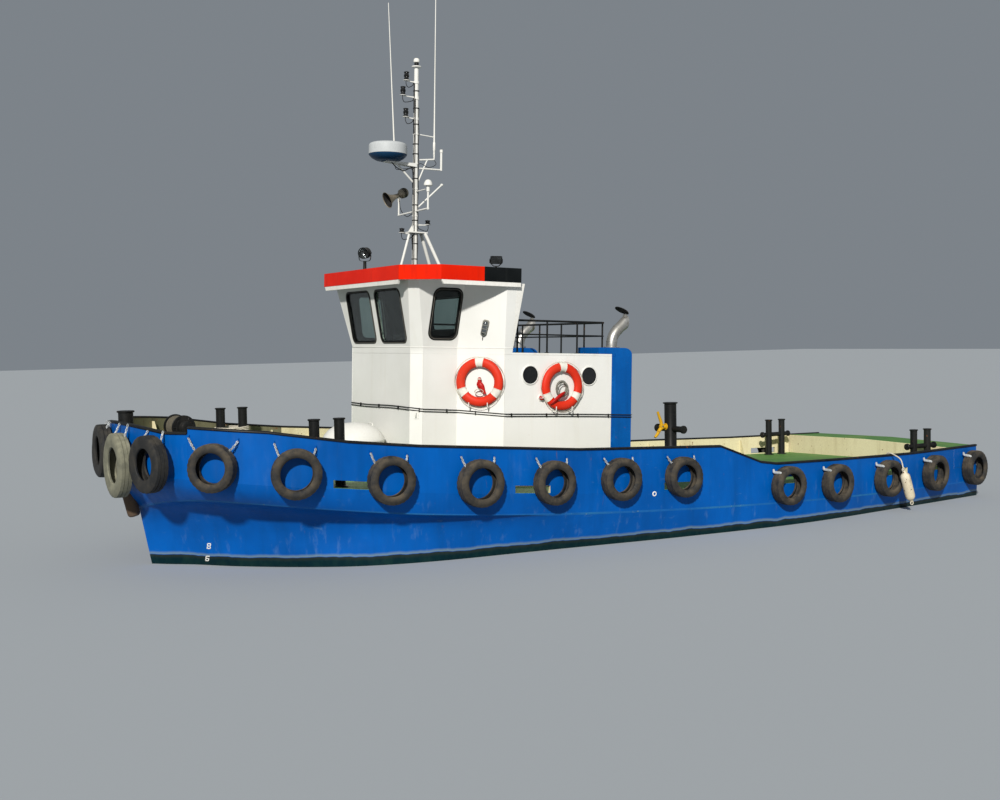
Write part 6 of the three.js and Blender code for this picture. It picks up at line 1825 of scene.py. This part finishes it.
for z in (1090, 1560, 2080, 2620):
    door.plate("x", DOOR_X + 1, DOOR_X - 10, [(-290, z - 16), (290, z - 16), (290, z + 16), (-290, z + 16)])
for y, z in ((-284, 1300), (-284, 2250), (284, 1250), (284, 2350)):
    door.lathe([(0, 15), (13, 14), (16, 10), (16, 0), (24, -2)], (DOOR_X, y, z), -FORE, 20, 2)
    door.plate("x", DOOR_X - 8, DOOR_X - 16,
               [(y - 9, z - 9), (y + 9, z - 9), (y + 7, z + 74), (y - 7, z + 74)], 2)
door.make("door_fittings", [WHITE, LAMP_GLASS, GALVANISED], "white_paint", "after_door", leaning=True,
          smooth=40)

# Hatch clips and grip
HATCH_AT, HATCH_R = vec(4150, 150, 1640), 490
clips = Build()
for turn in angles(6, 1.5, 4):
    spoke = vec(cos(turn), sin(turn), 0)
    across = vec(-spoke.y, spoke.x, 0)
    root = HATCH_AT + spoke * (HATCH_R - 4) - UP * 120
    clips.slab(root, across, UP, spoke * 13, [(-22, 0), (22, 0), (22, 96), (-22, 96)])
    pin = root + spoke * 20 + UP * 60
    clips.tube([pin - across * 26, pin + across * 26], 9, 12)
    clips.tube([root + spoke * 21 + UP * 56, root + spoke * 26, root + spoke * 36 - UP * 34], 7, 10)
clips.make("hatch_clips", [GALVANISED], "exhaust_steel", smooth=40)
grip = Build()
grip_at = HATCH_AT + vec(-300, 0, 224)
bow_shape = ((-90, -10), (-88, 34), (-60, 52), (0, 56), (60, 52), (88, 34), (90, -10))
grip.tube(smooth_path([grip_at + vec(0, y, z) for y, z in bow_shape], 24), 9, 10)
for y in (-90, 90):
    grip.lathe([(0, 12), (14, 12), (24, 8), (26, -14)], grip_at + vec(0, y, -4), (-0.45, 0, 0.9), 16)
grip.lathe([(HATCH_R + 8, 12), (HATCH_R + 11, 14), (HATCH_R + 11, 34), (HATCH_R + 7, 38)], HATCH_AT, UP, 64)
grip.make("hatch_grip", [WHITE], "white_paint", "hatch_lid", smooth=40)

# Wheel, levers and blank screens at the helm
WHEEL_AT, WHEEL_UP, WHEEL_AXIS = vec(3120, 0, 2790), vec(0.34, 0, 0.94), vec(-0.94, 0, 0.34)
SCREEN_X, SCREEN_FOOT = 3500, 2985
helm = Build()
helm.tube(circle(WHEEL_AT, WHEEL_UP * 185, PORT * 185, 48), 13, 10, closed=True)
for spot in circle(WHEEL_AT, WHEEL_UP * 180, PORT * 180, 5):
    helm.tube([WHEEL_AT, spot], 8, 8)
helm.lathe([(0, 22), (34, 18), (40, 0), (34, -16), (22, -30), (22, -120)], WHEEL_AT, WHEEL_AXIS, 24)
for y in (-330, 330):
    helm.plate("x", SCREEN_X, SCREEN_X + 34, rounded(y - 150, SCREEN_FOOT, y + 150, SCREEN_FOOT + 210, 16))
    helm.plate("x", SCREEN_X - 3, SCREEN_X + 1,
               rounded(y - 132, SCREEN_FOOT + 18, y + 132, SCREEN_FOOT + 192, 6), 1)
    helm.lathe([(16, 0), (16, 26)], (SCREEN_X + 17, y, SCREEN_FOOT - 25), segments=16)
    lever_y = y * 0.75
    helm.tube([(3300, lever_y, 2900), (3285, lever_y, 3010)], 7, 10, 2)
    helm.lathe([(0, -20), (14, -16), (20, 0), (14, 16), (0, 20)], (3283, lever_y, 3018), segments=20)
helm.make("helm_fittings", [BLACK, LAMP_GLASS, GALVANISED], "black_paint", leaning=True, smooth=40)

# CAD pieces that keep their shape
for name in ("house_walls", "wheelhouse_walls"):
    dress(name, HOUSE, 6)
dress("after_door", WHITE, 6)
for name, _ in SIDES:
    dress(f"casing_{name}", CASING, 12)
    dress(f"glass_front_{name}", GLASS, 0)
    dress(f"glass_side_{name}", GLASS, 0)
    dress(f"rudder_{name}", BOOT, 8)
    dress(f"shaft_bracket_{name}", BOOT, 6)
dress("glass_aft", GLASS, 0)
dress("wheelhouse_roof", ROOF, 5)
dress("deckhouse_roof", ROOF_EDGE, 5)
dress("wheelhouse_sole", LINING, 3)
dress("helm_console", LINING, 10)
dress("helm_seat", VINYL, 14)
dress("skeg", BOOT, 6)
dress("hatch_trunk", WHITE, 5)
dress("hatch_lid", WHITE, 6)

size = {"cad": [list(corner) for corner in cad_box], "visual": [list(corner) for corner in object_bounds()]}
